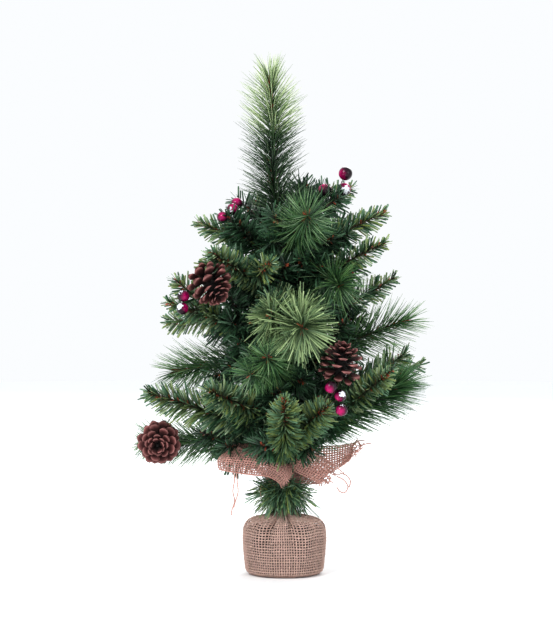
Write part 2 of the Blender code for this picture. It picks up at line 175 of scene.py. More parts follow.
def maths(tree, operation, first, second=0.0, third=0.0):
    sockets = {0: first, 1: second, 2: third}
    return addNode(tree, "ShaderNodeMath", sockets, operation=operation).outputs[0]


def times(tree, first, second):
    return maths(tree, "MULTIPLY", first, second)


def plus(tree, first, second):
    return maths(tree, "ADD", first, second)


def vector(tree, x=0.0, y=0.0, z=0.0):
    return addNode(tree, "ShaderNodeCombineXYZ", {"X": x, "Y": y, "Z": z}).outputs[0]


def scaled(tree, direction, amount):
    sockets = {0: direction, "Scale": amount}
    return addNode(tree, "ShaderNodeVectorMath", sockets, operation="SCALE").outputs[0]


def added(tree, first, second):
    return addNode(tree, "ShaderNodeVectorMath", {0: first, 1: second}, operation="ADD").outputs[0]


def mapped(tree, value, low, high, toLow, toHigh, smooth=True):
    style = "SMOOTHSTEP" if smooth else "LINEAR"
    sockets = {"Value": value, "From Min": low, "From Max": high, "To Min": toLow, "To Max": toHigh}
    return addNode(tree, "ShaderNodeMapRange", sockets, interpolation_type=style).outputs[0]


def newTree(name, inputs):
    tree = bpy.data.node_groups.new(name, "GeometryNodeTree")
    tree.interface.new_socket("Geometry", in_out="INPUT", socket_type="NodeSocketGeometry")
    tree.interface.new_socket("Geometry", in_out="OUTPUT", socket_type="NodeSocketGeometry")
    for label, kind in inputs:
        tree.interface.new_socket(label, in_out="INPUT", socket_type="NodeSocket" + kind)
    start = tree.nodes.new("NodeGroupInput").outputs
    end = tree.nodes.new("NodeGroupOutput").inputs
    return tree, start, end


def randomValue(tree, low, high, seed, offset, who=None):
    sockets = {"Min": low, "Max": high, "Seed": maths(tree, "ADD", seed, offset)}
    if who is not None:
        sockets["ID"] = who
    made = addNode(tree, "FunctionNodeRandomValue", data_type="FLOAT")
    for label, value in sockets.items():
        feed(tree, [s for s in made.inputs if s.name == label and s.enabled][0], value)
    return [s for s in made.outputs if s.enabled][0]


def storeValue(tree, geometry, label, value, kind="FLOAT"):
    made = addNode(tree, "GeometryNodeStoreNamedAttribute", {"Geometry": geometry, "Name": label},
                   data_type=kind, domain="POINT")
    tree.links.new(value, [s for s in made.inputs if s.name == "Value" and s.enabled][0])
    return made.outputs[0]


def readValue(tree, label, kind="FLOAT"):
    made = addNode(tree, "GeometryNodeInputNamedAttribute", {"Name": label}, data_type=kind)
    return [s for s in made.outputs if s.enabled][0]


def resampled(tree, curve, spacing):
    sockets = {"Curve": curve, "Length": spacing}
    return addNode(tree, "GeometryNodeResampleCurve", sockets, mode="LENGTH").outputs[0]


def moved(tree, geometry, offset):
    return addNode(tree, "GeometryNodeSetPosition", {"Geometry": geometry, "Offset": offset}).outputs[0]


def facingAlong(tree, first, second):
    # a rotation whose Z follows the first direction and whose X follows the second
    return addNode(tree, "FunctionNodeAxesToRotation", {0: first, 1: second}, primary_axis="Z",
                   secondary_axis="X").outputs[0]


def copies(tree, points, source, facing, size):
    # a copy of the source object's shape at every point
    shape = addNode(tree, "GeometryNodeObjectInfo", {"Object": source}).outputs["Geometry"]
    sockets = {"Points": points, "Instance": shape, "Rotation": facing, "Scale": size}
    return addNode(tree, "GeometryNodeInstanceOnPoints", sockets).outputs[0]


def realized(tree, geometry):
    return addNode(tree, "GeometryNodeRealizeInstances", {0: geometry}).outputs[0]


def finishTree(tree, end, geometry, finish):
    # the last steps of every tree: real geometry with its material
    sockets = {"Geometry": realized(tree, geometry), "Material": finish}
    tree.links.new(addNode(tree, "GeometryNodeSetMaterial", sockets).outputs[0], end[0])


def runTree(host, tree, values, name):
    # applies the tree to the host object and returns its result as a plain mesh object
    step = host.modifiers.new("maker", "NODES")
    step.node_group = tree
    sockets = {item.name: item.identifier for item in tree.interface.items_tree if item.in_out == "INPUT"}
    for label, value in values.items():
        step[sockets[label]] = value
    bpy.context.view_layer.update()
    seen = bpy.context.evaluated_depsgraph_get()
    mesh = bpy.data.meshes.new_from_object(host.evaluated_get(seen), depsgraph=seen)
    host.modifiers.remove(step)
    mesh.name = name
    made = bpy.data.objects.new(name, mesh)
    bpy.context.collection.objects.link(made)
    return made


def joined(parts, name):
    if len(parts) > 1:
        with bpy.context.temp_override(active_object=parts[0], selected_editable_objects=parts):
            bpy.ops.object.join()
    parts[0].name = name
    parts[0].data.name = name
    return parts[0]


def removeAll(things):
    for thing in things:
        bpy.data.objects.remove(thing, do_unlink=True)


# colours and materials

def srgb(red, green, blue):
    # a colour as a paint chart gives it, in linear light
    def linear(value):
        value /= 255
        return value / 12.92 if value <= 0.04045 else ((value + 0.055) / 1.055) ** 2.4
    return (linear(red), linear(green), linear(blue), 1.0)


def newMaterial(name, roughness, specular=0.5):
    made = bpy.data.materials.new(name)
    made.use_nodes = True
    surface = made.node_tree.nodes["Principled BSDF"]
    surface.inputs["Roughness"].default_value = roughness
    surface.inputs["Specular IOR Level"].default_value = specular
    return made, made.node_tree, surface.inputs


def ramp(tree, value, stops):
    made = addNode(tree, "ShaderNodeValToRGB", {0: value})
    stopList = made.color_ramp.elements
    while len(stopList) < len(stops):
        stopList.new(1.0)
    for stop, (place, colour) in zip(stopList, stops):
        stop.position = place
        stop.color = colour
    return made.outputs[0]


def mixColours(tree, amount, first, second, blend="MIX"):
    made = addNode(tree, "ShaderNodeMix", data_type="RGBA", blend_type=blend)
    for label, value in (("Factor", amount), ("A", first), ("B", second)):
        wanted = "RGBA" if label != "Factor" else "VALUE"
        feed(tree, [s for s in made.inputs if s.name == label and s.type == wanted][0], value)
    return [s for s in made.outputs if s.type == "RGBA"][0]


def attribute(tree, label):
    return addNode(tree, "ShaderNodeAttribute", attribute_name=label).outputs["Fac"]


def bump(tree, height, strength, distance):
    sockets = {"Height": height, "Strength": strength, "Distance": distance}
    return addNode(tree, "ShaderNodeBump", sockets).outputs[0]


def noiseField(tree, scale, detail=3.0):
    place = tree.nodes.new("ShaderNodeTexCoord").outputs["Object"]
    sockets = {"Vector": place, "Scale": scale, "Detail": detail, "Roughness": 0.55}
    return addNode(tree, "ShaderNodeTexNoise", sockets).outputs[0]


def shaderGroup(name, inputs, outputs):
    tree = bpy.data.node_groups.new(name, "ShaderNodeTree")
    for label, kind, value in inputs:
        socket = tree.interface.new_socket(label, in_out="INPUT", socket_type="NodeSocket" + kind)
        socket.default_value = value
    for label, kind in outputs:
        tree.interface.new_socket(label, in_out="OUTPUT", socket_type="NodeSocket" + kind)
    return tree, tree.nodes.new("NodeGroupInput").outputs, tree.nodes.new("NodeGroupOutput").inputs


def useGroup(tree, group, sockets):
    return addNode(tree, "ShaderNodeGroup", sockets, node_tree=group).outputs


def dimmed(tree, colour, shade):
    # a colour made darker or lighter by a value
    tint = addNode(tree, "ShaderNodeCombineColor", {0: shade, 1: shade, 2: shade}).outputs[0]
    return mixColours(tree, 1.0, colour, tint, "MULTIPLY")


def makeFibreGroup():
    # uneven dye and, through the tone, the bow's painted shade and light; fuzz and small knots of spun fibre
    tree, start, end = shaderGroup("fibre", (("Colour", "Color", (0.5, 0.3, 0.2, 1)), ("Tone", "Float", 0.5),
                                            ("Fuzz Scale", "Float", 900.0)),
                                   (("Colour", "Color"), ("Height", "Float")))
    fuzz = noiseField(tree, start["Fuzz Scale"], 2.0)
    shade = mapped(tree, start["Tone"], 0.0, 1.0, 0.55, 1.30, False)
    shade = times(tree, shade, mapped(tree, fuzz, 0.3, 0.7, 0.86, 1.12, False))
    tree.links.new(dimmed(tree, start["Colour"], shade), end["Colour"])
    tree.links.new(fuzz, end["Height"])
    return tree


def makeWearGroup():
    # blotches of dust or scuffing over a plain finish
    tree, start, end = shaderGroup("blotches", (("Colour", "Color", (0.5, 0.5, 0.5, 1)),
                                               ("Blotch Colour", "Color", (0.6, 0.6, 0.6, 1)),
                                               ("Scale", "Float", 60.0), ("Amount", "Float", 0.5)),
                                   (("Colour", "Color"), ("Mask", "Float"), ("Height", "Float")))
    coarse = noiseField(tree, start["Scale"], 5.0)
    fine = noiseField(tree, times(tree, start["Scale"], 9.0))
    mask = times(tree, mapped(tree, coarse, 0.42, 0.62, 0.0, 1.0), start["Amount"])
    tree.links.new(mixColours(tree, mask, start["Colour"], start["Blotch Colour"]), end["Colour"])
    tree.links.new(mask, end["Mask"])
    tree.links.new(plus(tree, coarse, times(tree, fine, 0.5)), end["Height"])
    return tree


fibreGroup = makeFibreGroup()
blotchGroup = makeWearGroup()

# colours at the root and at the tip of a needle, from the tone 0 to 1; the darker root colours are painted
# shade deep in the branch, the lighter tip colours painted light on its outside and, on frosted needles,
# frost too;
# above brownTone a needle is one of the short brown bud scales
brownTone = 0.9
filmColours = {
    "short_needles": {
        "root": ((0.0, srgb(10, 24, 16)), (0.25, srgb(22, 48, 32)), (0.5, srgb(42, 72, 44)),
                 (0.7, srgb(66, 82, 36)), (0.88, srgb(80, 98, 62))),
        "tip": ((0.0, srgb(26, 50, 34)), (0.25, srgb(64, 102, 72)), (0.5, srgb(120, 156, 126)),
                (0.7, srgb(136, 150, 82)), (0.88, srgb(180, 200, 168))),
    },
    "long_needles": {
        "root": ((0.0, srgb(9, 27, 16)), (0.25, srgb(20, 51, 28)), (0.5, srgb(36, 76, 40)),
                 (0.7, srgb(52, 92, 46)), (0.88, srgb(66, 102, 60))),
        "tip": ((0.0, srgb(24, 56, 34)), (0.25, srgb(52, 96, 58)), (0.5, srgb(94, 136, 88)),
                (0.7, srgb(118, 154, 92)), (0.88, srgb(164, 190, 156))),
    },
    "frosted_needles": {
        "root": ((0.0, srgb(7, 22, 14)), (0.25, srgb(14, 40, 23)), (0.5, srgb(34, 64, 38)),
                 (0.7, srgb(64, 96, 56)), (0.88, srgb(84, 116, 72))),
        "tip": ((0.0, srgb(18, 42, 28)), (0.25, srgb(40, 70, 46)), (0.5, srgb(104, 130, 94)),
                (0.7, srgb(166, 188, 136)), (0.88, srgb(218, 230, 186))),
    },
}
brownRoot = srgb(80, 34, 24)
brownTip = srgb(170, 84, 54)


def makeFilmMaterial(slot):
    made, tree, surface = newMaterial(slot.replace("_", " "), 0.45, 0.6)
    tone = attribute(tree, "tone")
    along = attribute(tree, "along")
    root = ramp(tree, tone, filmColours[slot]["root"] + ((brownTone + 0.01, brownRoot),))
    tip = ramp(tree, tone, filmColours[slot]["tip"] + ((brownTone + 0.01, brownTip),))
    # along the needle from the darker root colour, painted shade, to the lighter tip colour, painted light
    colour = mixColours(tree, mapped(tree, along, 0.05, 0.8, 0.0, 1.0), root, tip)
    tree.links.new(colour, surface["Base Color"])
    tree.links.new(mapped(tree, tone, 0.0, 1.0, 0.30, 0.52, False), surface["Roughness"])
    return made


def makePlainMaterial(name, colour, blotchColour, scale, amount, roughness, depth, metallic=0.0):
    made, tree, surface = newMaterial(name, roughness)
    surface["Metallic"].default_value = metallic
    worn = useGroup(tree, blotchGroup, {"Colour": colour, "Blotch Colour": blotchColour, "Scale": scale,
                                       "Amount": amount})
    tree.links.new(worn["Colour"], surface["Base Color"])
    tree.links.new(mapped(tree, worn["Mask"], 0.0, 1.0, roughness, min(1.0, roughness + 0.2), False),
                   surface["Roughness"])
    tree.links.new(bump(tree, worn["Height"], 0.5, depth), surface["Normal"])
    return made


def makeFibreMaterial(name, colour):
    made, tree, surface = newMaterial(name, 0.95, 0.2)
    surface["Sheen Weight"].default_value = 0.25
    surface["Sheen Roughness"].default_value = 0.5
    sockets = {"Colour": colour, "Tone": attribute(tree, "tone"), "Fuzz Scale": 1500.0}
    spun = useGroup(tree, fibreGroup, sockets)
    tree.links.new(spun["Colour"], surface["Base Color"])
    tree.links.new(bump(tree, spun["Height"], 0.35, 0.0003), surface["Normal"])
    return made


def makeConeMaterial():
    made, tree, surface = newMaterial("cone scales", 0.75, 0.35)
    along = attribute(tree, "along")
    tone = attribute(tree, "tone")
    woody = ramp(tree, along, ((0.0, srgb(18, 9, 10)), (0.45, srgb(40, 18, 18)), (0.74, srgb(76, 38, 37)),
                               (0.90, srgb(122, 74, 72)), (1.0, srgb(164, 116, 112))))
    shade = mapped(tree, tone, 0.0, 1.0, 0.72, 1.18, False)
    tree.links.new(dimmed(tree, woody, shade), surface["Base Color"])
    grain = noiseField(tree, 700.0, 4.0)
    tree.links.new(bump(tree, grain, 0.4, 0.0004), surface["Normal"])
    return made


def makeBerryMaterial():
    # lacquer from dark maroon, painted shade, to magenta, painted light, with a rough patch of snow
    made, tree, surface = newMaterial("berry lacquer", 0.12, 0.30)
    surface["Coat Weight"].default_value = 0.12
    surface["Coat Roughness"].default_value = 0.06
    tone = attribute(tree, "tone")
    snow = attribute(tree, "snow")
    lacquer = ramp(tree, tone, ((0.0, srgb(20, 6, 18)), (0.42, srgb(50, 6, 34)), (0.66, srgb(128, 6, 72)),
                                (0.92, srgb(198, 14, 112))))
    flock = mixColours(tree, mapped(tree, noiseField(tree, 1600.0), 0.35, 0.65, 0.0, 1.0),
                       srgb(196, 200, 210), srgb(246, 248, 250))
    cover = mapped(tree, snow, 0.45, 0.6, 0.0, 1.0)
    tree.links.new(mixColours(tree, cover, lacquer, flock), surface["Base Color"])
    tree.links.new(mapped(tree, snow, 0.4, 0.6, 0.12, 0.9), surface["Roughness"])
    tree.links.new(bump(tree, noiseField(tree, 1800.0), 0.3, 0.0003), surface["Normal"])
    return made


bpy.context.scene.view_settings.view_transform = "Standard"
bpy.context.scene.view_settings.gamma = 0.84
finishes = {slot: makeFilmMaterial(slot) for slot in filmColours}
finishes["branch_wire"] = makePlainMaterial("painted wire", srgb(70, 44, 30), srgb(34, 52, 30), 240.0, 0.8,
                                           0.55, 0.0002)
finishes["trunk_tape"] = makePlainMaterial("crepe tape", srgb(26, 44, 24), srgb(50, 44, 28), 180.0, 0.7,
                                          0.85, 0.0006)
finishes["rod_steel"] = makePlainMaterial("painted rod", srgb(58, 50, 38), srgb(36, 30, 24), 120.0, 0.6,
                                         0.5, 0.0001, 0.6)
# the cement block is coloured near black, far darker than cement, as painted shade for the sack's dark inside
finishes["weight_cement"] = makePlainMaterial("cast cement", srgb(34, 32, 26), srgb(22, 23, 18), 90.0, 0.8,
                                             0.95, 0.0008)
finishes["tie_twine"] = makeFibreMaterial("jute twine", srgb(150, 112, 82))
finishes["sack_burlap"] = makeFibreMaterial("sack burlap", srgb(197, 167, 155))
finishes["bow_burlap"] = makeFibreMaterial("bow burlap", srgb(197, 152, 141))
finishes["pine_cone"] = makeConeMaterial()
finishes["berry_gloss"] = makeBerryMaterial()
print("materials ready:", len(finishes))


# courses of the wires, read from the frame

ringSpan = 0.0032        # points of one ring of a wire lie closer than this
stepAlong = 0.003
longestStub = 0.08
stubShare = 0.45         # how far a carrying twig's needles reach along its last stretch
socketReach = 0.0035     # a wire's end in a socket lies this close to the socket's wall
sameWire = 0.00015       # main wires are thicker than twigs by more than this


def mergedCopy(nodeName):
    work = bmesh.new()
    work.from_mesh(frame["nodes"][nodeName].data)
    bmesh.ops.remove_doubles(work, verts=work.verts, dist=0.00001)
    work.verts.ensure_lookup_table()
    return work


def groupedPoints(points, span):
    # gives each point the number of its group; points nearer than the span share one
    tree = KDTree(len(points))
    for number, point in enumerate(points):
        tree.insert(point, number)
    tree.balance()
    groups = [None] * len(points)
    found = 0
    for first in range(len(points)):
        if groups[first] is not None:
            continue
        waiting = [first]
        groups[first] = found
        while waiting:
            for _, other, _ in tree.find_range(points[waiting.pop()], span):
                if groups[other] is None:
                    groups[other] = found
                    waiting.append(other)
        found += 1
    return groups, found


def wireSkeleton(nodeName, root):
    # the wire's ring centres as a web, and the way back to the root from each of them
    work = mergedCopy(nodeName)
    points = [vert.co.copy() for vert in work.verts]
    groups, count = groupedPoints(points, ringSpan)
    members = [[p for p, g in zip(points, groups) if g == k] for k in range(count)]
    centres = [sum(m, Vector()) / len(m) for m in members]
    radii = [max((p - c).length for p in m) for m, c in zip(members, centres)]
    links = [set() for _ in range(count)]
    for edge in work.edges:
        first, second = (groups[vert.index] for vert in edge.verts)
        if first != second:
            links[first].add(second)
            links[second].add(first)
    work.free()
    home = min(range(count), key=lambda k: (centres[k] - root).length)
    away = {home: 0.0}
    back = {home: None}
    waiting = {home}
    while waiting:
        here = min(waiting, key=lambda k: away[k])
        waiting.remove(here)
        for other in links[here]:
            reach = away[here] + (centres[other] - centres[here]).length
            if other not in away or reach < away[other] - 1e-9:
                away[other] = reach
                back[other] = here
                waiting.add(other)
    ends = [k for k in range(count) if k in away and all(away[j] < away[k] for j in links[k])]
    return centres, radii, back, ends, away


def smoothCourse(points):
    # an even, rounded course through the given points
    padded = [points[0] * 2 - points[1]] + list(points) + [points[-1] * 2 - points[-2]]
    rounded = [points[0].copy()]
    for a, b, c, d in zip(padded, padded[1:], padded[2:], padded[3:]):
        steps = max(1, round((c - b).length / stepAlong))
        for i in range(1, steps + 1):
            t = i / steps
            rounded.append(0.5 * (2 * b + (c - a) * t + (2 * a - 5 * b + 4 * c - d) * t * t
                                  + (3 * b - a - 3 * c + d) * t ** 3))
    return rounded


def courseLength(course):
    return sum((b - a).length for a, b in zip(course, course[1:]))


def trimmed(course, start):
    # the same course without its first stretch
    left = start
    for number, (a, b) in enumerate(zip(course, course[1:])):
        run = (b - a).length
        if left < run:
            return [a.lerp(b, left / run)] + course[number + 1:]
        left -= run
    return course[-2:]


def inSocket(point, nodeName):
    # true where a wire's end lies in this node's socket, close to its walls
    return min((vert.co - point).length for vert in frame["nodes"][nodeName].data.vertices) < socketReach


heldNodes = [name for name in frame["nodes"] if name.startswith(("cone_", "berries_"))]


def wireCourses(body):
    # the branch's own course, its twigs' courses, and the stubs with the node that each one holds
    root = Vector(hinges[body]["pos_m"])
    centres, radii, back, ends, away = wireSkeleton(body + "_wire", root)

    def wayTo(end):
        way = [end]
        while back[way[-1]] is not None:
            way.append(back[way[-1]])
        return way[::-1]

    thick = max(radii[k] for k in ends)
    main = max((k for k in ends if radii[k] > thick - sameWire), key=lambda k: away[k])
    mainWay = wayTo(main)
    taken = set(mainWay)
    twigs, stubs = [], []
    for end in sorted(ends, key=lambda k: away[k]):
        if end == main:
            continue
        way = wayTo(end)
        leaving = max(i for i, k in enumerate(way) if k in taken)
        points = [centres[k] for k in way[leaving:]]
        taken.update(way)
        holder = [name for name in heldNodes if inSocket(points[-1], name)]
        if not holder:
            twigs.append(points)
            continue
        if courseLength(points) > longestStub:     # a twig of its own, with the stub near its tip
            twigs.append(points[:-1] + [points[-2].lerp(points[-1], stubShare)])
            points = points[-2:]
        stubs.append((points, holder[0]))
    mainPoints = [root] + [centres[k] for k in mainWay[1:]]
    return mainPoints, twigs, stubs


bodies = [name for name in record["behaviour"]["bodies"] if name != "base"]
courses = {body: wireCourses(body) for body in bodies}
for body, (mainPoints, twigs, stubs) in courses.items():
    print("course", body, round(courseLength(mainPoints) * 1000), "mm,", len(twigs), "twigs,",
          [held for _, held in stubs])


def courseHost(coursePoints, name):
    # a curve object of open straight-segment splines, one for each course
    curve = bpy.data.curves.new(name, "CURVE")
    curve.dimensions = "3D"
    for points in coursePoints:
        spline = curve.splines.new("POLY")
        spline.points.add(len(points) - 1)
        for place, point in zip(spline.points, points):
            place.co = (*point, 1.0)
    host = bpy.data.objects.new(name, curve)
    bpy.context.collection.objects.link(host)
    return host


# needles

# sizes in metres, angles in degrees; spacing is the way along the wire from needle to needle
needleKinds = {
    "short": {"Spacing": 0.00032, "Length": 0.0205, "Width": 0.0019, "Lean": 56.0, "Pitch": 0.0042,
              "Spread": 3.1, "Taper": 0.42, "Forward": 0.32, "Sway": 0.05, "Frost From": 2.0,
              "Brown Share": 0.08, "Tone From": 0.0, "Tone To": 0.88, "Clump": 1.0},
    # inner: the filler twigs' needles keep to the darkest tones, painted shade inside the branch
    "inner": {"Spacing": 0.00044, "Length": 0.0250, "Width": 0.0019, "Lean": 60.0, "Pitch": 0.0042,
              "Spread": 3.1, "Taper": 0.30, "Forward": 0.25, "Sway": 0.08, "Frost From": 2.0,
              "Brown Share": 0.05, "Tone From": 0.0, "Tone To": 0.34, "Clump": 1.0},
    "long": {"Spacing": 0.00026, "Length": 0.0460, "Width": 0.0010, "Lean": 48.0, "Pitch": 0.0120,
             "Spread": 2.0, "Taper": 0.30, "Forward": 0.45, "Sway": 0.07, "Frost From": 2.0,
             "Brown Share": 0.06, "Tone From": 0.0, "Tone To": 0.84, "Clump": 1.0},
    "frosted": {"Spacing": 0.00013, "Length": 0.0395, "Width": 0.0014, "Lean": 68.0, "Pitch": 1.0,
                "Spread": 0.42, "Taper": 0.12, "Forward": 0.10, "Sway": 0.30, "Frost From": -1.0,
                "Brown Share": 0.04, "Tone From": 0.0, "Tone To": 0.37, "Clump": 13.0},
    "leader": {"Spacing": 0.00016, "Length": 0.0460, "Width": 0.00110, "Lean": 52.0, "Pitch": 0.0120,
               "Spread": 1.7, "Taper": 0.24, "Forward": 0.50, "Sway": 0.13, "Frost From": 0.54,
               "Brown Share": 0.08, "Tone From": 0.06, "Tone To": 0.50, "Clump": 1.0},
}
kindSlots = {"short": "short_needles", "inner": "short_needles", "long": "long_needles",
             "frosted": "frosted_needles", "leader": "frosted_needles"}
longTwigs = ("right_fork", "front_left", "back_right")
endOn = {"Lean": 62.0, "Forward": 0.06, "Spacing": 0.00022, "Taper": 0.12, "Sway": 0.04}
fullStrips = {"Length": 0.0275, "Spacing": 0.00024, "Width": 0.0018, "Lean": 54.0, "Sway": 0.08}
bodyLooks = {
    "front_top": {**endOn, "Length": 0.042},
    "front_left": {**endOn, "Length": 0.032},
    "right_bottom": {"Length": 0.050, "Spacing": 0.00013, "Width": 0.00125, "Spread": 3.1, "Tone To": 0.62},
    "left_bottom": {"Length": 0.0430, "Spacing": 0.00018, "Taper": 0.05, "Forward": 0.20},
    "left_low": fullStrips,
    "left_front": fullStrips,
    "right_low": {"Length": 0.0245, "Spacing": 0.00040},
    "left_long": {"Spacing": 0.00019},
    "front_bottom": {"Length": 0.0270, "Spacing": 0.00019, "Width": 0.0017, "Lean": 52.0, "Tone From": 0.30,
                     "Tone To": 0.74, "Taper": 0.6},
    "left_fork": {"Spacing": 0.00038, "Tone From": 0.10},
    "left_top": {"Tone From": 0.14},
    "left_mid": {"Tone From": 0.12},
}
# small twigs near the trunk, which close the gaps between the branches
filler = {"count": 7, "from": 0.03, "to": 0.36, "shortest": 0.034, "longest": 0.062, "turn": 58.0}
fillerCounts = {"leader": 0, "right_top": 4, "left_top": 4, "back_top": 4, "front_top": 4}
# twigs that only carry needles, from the branch's own wire outwards
sideTwigs = {
    "left_bottom": ("long", ((-0.129, 0.032, 0.151), (-0.148, 0.031, 0.150), (-0.168, 0.030, 0.147))),
    "front_flocked": ("frosted", ((0.007, -0.055, 0.297), (-0.005, -0.092, 0.301), (-0.015, -0.112, 0.303))),
}
sideLooks = {"side_long": {"Length": 0.0265, "Taper": 0.5, "Forward": 0.6},
             "side_frosted": {"Length": 0.034, "Lean": 62.0}}
needleStart = 0.007          # bare wire between the trunk and the first needle
twigStart = 0.002


def makeNeedle(name, sides, rings, flat):
    # one needle of unit length and width along Z, closed, with its place along it in an attribute
    work = bmesh.new()
    along = work.verts.layers.float.new("along")
    side = work.verts.layers.float.new("side")
    loops = []
    for height, width in rings:
        loop = []
        for k in range(sides):
            turn = math.tau * k / sides
            vert = work.verts.new((0.5 * width * math.cos(turn), 0.5 * width * flat * math.sin(turn), height))
            vert[along] = height
            vert[side] = k / sides
            loop.append(vert)
        loops.append(loop)
    for lower, upper in zip(loops, loops[1:]):
        for k in range(sides):
            j = (k + 1) % sides
            work.faces.new((lower[k], lower[j], upper[j], upper[k]))
    work.faces.new(loops[0][::-1])
    work.faces.new(loops[-1])
    return meshObject(work, name)


def needleTone(tree, start, place, brown):
    # greens of the ramp at random, lighter past the frost line, brown for the bud scales
    seed = start["Seed"]
    ragged = plus(tree, place, randomValue(tree, -0.05, 0.05, seed, 2))
    past = maths(tree, "SUBTRACT", ragged, start["Frost From"])
    frost = mapped(tree, past, -0.02, 0.02, 0.0, 0.38)
    frost = times(tree, frost, maths(tree, "LESS_THAN", start["Frost From"], 1.5))
    reach = maths(tree, "SUBTRACT", start["Tone To"], start["Tone From"])
    green = times(tree, reach, maths(tree, "POWER", randomValue(tree, 0.0, 1.0, seed, 3), 0.70))
    green = plus(tree, plus(tree, green, start["Tone From"]), frost)
    green = times(tree, green, maths(tree, "SUBTRACT", 1.0, brown))
    return plus(tree, green, times(tree, brown, brownTone + 0.05))


def needleLength(tree, start, nearTip, brown):
    # shorter towards the wire's end; a bud scale is a short stub
    shorter = maths(tree, "MULTIPLY_ADD", nearTip, times(tree, start["Taper"], -1.0), 1.0)
    length = times(tree, start["Length"], randomValue(tree, 0.80, 1.10, start["Seed"], 5))
    length = times(tree, length, shorter)
    bud = times(tree, brown, times(tree, start["Length"], 0.14))
    green = times(tree, length, maths(tree, "SUBTRACT", 1.0, brown))
    bud = plus(tree, bud, times(tree, brown, 0.0024))
    return plus(tree, green, bud)


def needleFacing(tree, start, spline, nearTip, index, tuft):
    # a double spiral round the wire, leaning towards its end
    seed = start["Seed"]
    tufted = maths(tree, "GREATER_THAN", start["Clump"], 1.5)
    lean = plus(tree, start["Lean"], randomValue(tree, -7.0, 7.0, seed, 6))
    lean = plus(tree, lean, times(tree, tufted, randomValue(tree, -16.0, 16.0, seed, 13, tuft)))
    fold = maths(tree, "MULTIPLY_ADD", nearTip, times(tree, start["Forward"], -1.0), 1.0)
    lean = maths(tree, "RADIANS", times(tree, lean, fold))
    spiral = maths(tree, "DIVIDE", spline["Length"], start["Pitch"])
    odd = times(tree, maths(tree, "MODULO", index, 2.0), 0.5)
    spiral = times(tree, plus(tree, spiral, odd), math.tau)
    stray = times(tree, start["Spread"], randomValue(tree, -1.0, 1.0, seed, 7))
    aside = times(tree, tufted, randomValue(tree, -math.pi, math.pi, seed, 14, tuft))
    spin = plus(tree, plus(tree, spiral, aside), stray)
    roll = randomValue(tree, -1.2, 1.2, seed, 8)
    tangent = tree.nodes.new("GeometryNodeInputTangent").outputs[0]
    normal = tree.nodes.new("GeometryNodeInputNormal").outputs[0]
    facing = facingAlong(tree, tangent, normal)
    for axis, angle in (("Z", spin), ("Y", lean), ("Z", roll)):
        turn = addNode(tree, "ShaderNodeCombineXYZ", {axis: angle}).outputs[0]
        turn = addNode(tree, "FunctionNodeEulerToRotation", {0: turn}).outputs[0]
        facing = addNode(tree, "FunctionNodeRotateRotation", {0: facing, 1: turn},
                         rotation_space="LOCAL").outputs[0]
    return facing


def makeBrushTree():
    # strips held along a wire; needles of one tuft share a side of the wire, a lean and a bend
    measures = ("Spacing", "Length", "Width", "Lean", "Pitch", "Spread", "Taper", "Forward", "Sway",
                "Frost From", "Brown Share", "Tone From", "Tone To", "Clump")
    tree, start, end = newTree("needle brush", (("Needle", "Object"), ("Finish", "Material"), ("Seed", "Int"))
                               + tuple((label, "Float") for label in measures))
    dotted = resampled(tree, start["Geometry"], start["Spacing"])
    spline = tree.nodes.new("GeometryNodeSplineParameter").outputs
    index = tree.nodes.new("GeometryNodeInputIndex").outputs[0]
    seed = start["Seed"]
    nearTip = mapped(tree, spline["Factor"], 0.72, 1.0, 0.0, 1.0)
    brownChance = times(tree, start["Brown Share"], maths(tree, "MULTIPLY_ADD", nearTip, 3.0, 1.0))
    brown = maths(tree, "LESS_THAN", randomValue(tree, 0.0, 1.0, seed, 1), brownChance)
    tone = needleTone(tree, start, spline["Factor"], brown)
    length = needleLength(tree, start, nearTip, brown)
    tuft = maths(tree, "FLOOR", maths(tree, "DIVIDE", index, start["Clump"]))
    facing = needleFacing(tree, start, spline, nearTip, index, tuft)
    width = times(tree, start["Width"], randomValue(tree, 0.8, 1.15, seed, 9))
    bend = vector(tree, randomValue(tree, -1.0, 1.0, seed, 10, tuft),
                  randomValue(tree, -1.0, 1.0, seed, 11, tuft), randomValue(tree, -1.3, 0.5, seed, 12, tuft))
    bend = scaled(tree, bend, times(tree, length, start["Sway"]))
    dotted = storeValue(tree, dotted, "tone", tone)
    dotted = storeValue(tree, dotted, "bend", bend, "FLOAT_VECTOR")
    strips = realized(tree, copies(tree, dotted, start["Needle"], facing, vector(tree, width, width, length)))
    along = readValue(tree, "along")
    droop = scaled(tree, readValue(tree, "bend", "FLOAT_VECTOR"), times(tree, along, along))
    finishTree(tree, end, moved(tree, strips, droop), start["Finish"])
    return tree


def layPalette(piece):
    # maps each needle or thread by its place along and its tone, so that like colours share a place
    mesh = piece.data
    count = len(mesh.vertices)
    values = {}
    for label in ("along", "tone", "side"):
        values[label] = np.zeros(count, np.float32)
        if label in mesh.attributes:
            mesh.attributes[label].data.foreach_get("value", values[label])
    corners = np.zeros(len(mesh.loops), np.int32)
    mesh.loops.foreach_get("vertex_index", corners)
    u = 0.02 + 0.96 * values["along"]
    v = 0.02 + 0.96 * values["tone"] + 0.003 * values["side"]
    layer = mesh.uv_layers.new(name="OFBake")
    layer.uv.foreach_set("vector", np.stack([u, v], 1)[corners].astype(np.float32).ravel())
    for label in ("bend", "side"):
        if label in mesh.attributes:
            mesh.attributes.remove(mesh.attributes[label])


brushTree = makeBrushTree()
strip = makeNeedle("strip", 4, ((0.0, 0.75), (0.4, 1.0), (0.95, 0.95), (1.0, 0.55)), 0.30)
bristle = makeNeedle("bristle", 3, ((0.0, 1.0), (0.5, 0.85), (1.0, 0.22)), 0.9)
flatStrip = makeNeedle("flat strip", 4, ((0.0, 0.6), (0.5, 1.0), (1.0, 0.9)), 0.35)
needleShapes = {"short": strip, "inner": strip, "long": bristle, "frosted": flatStrip, "leader": bristle}


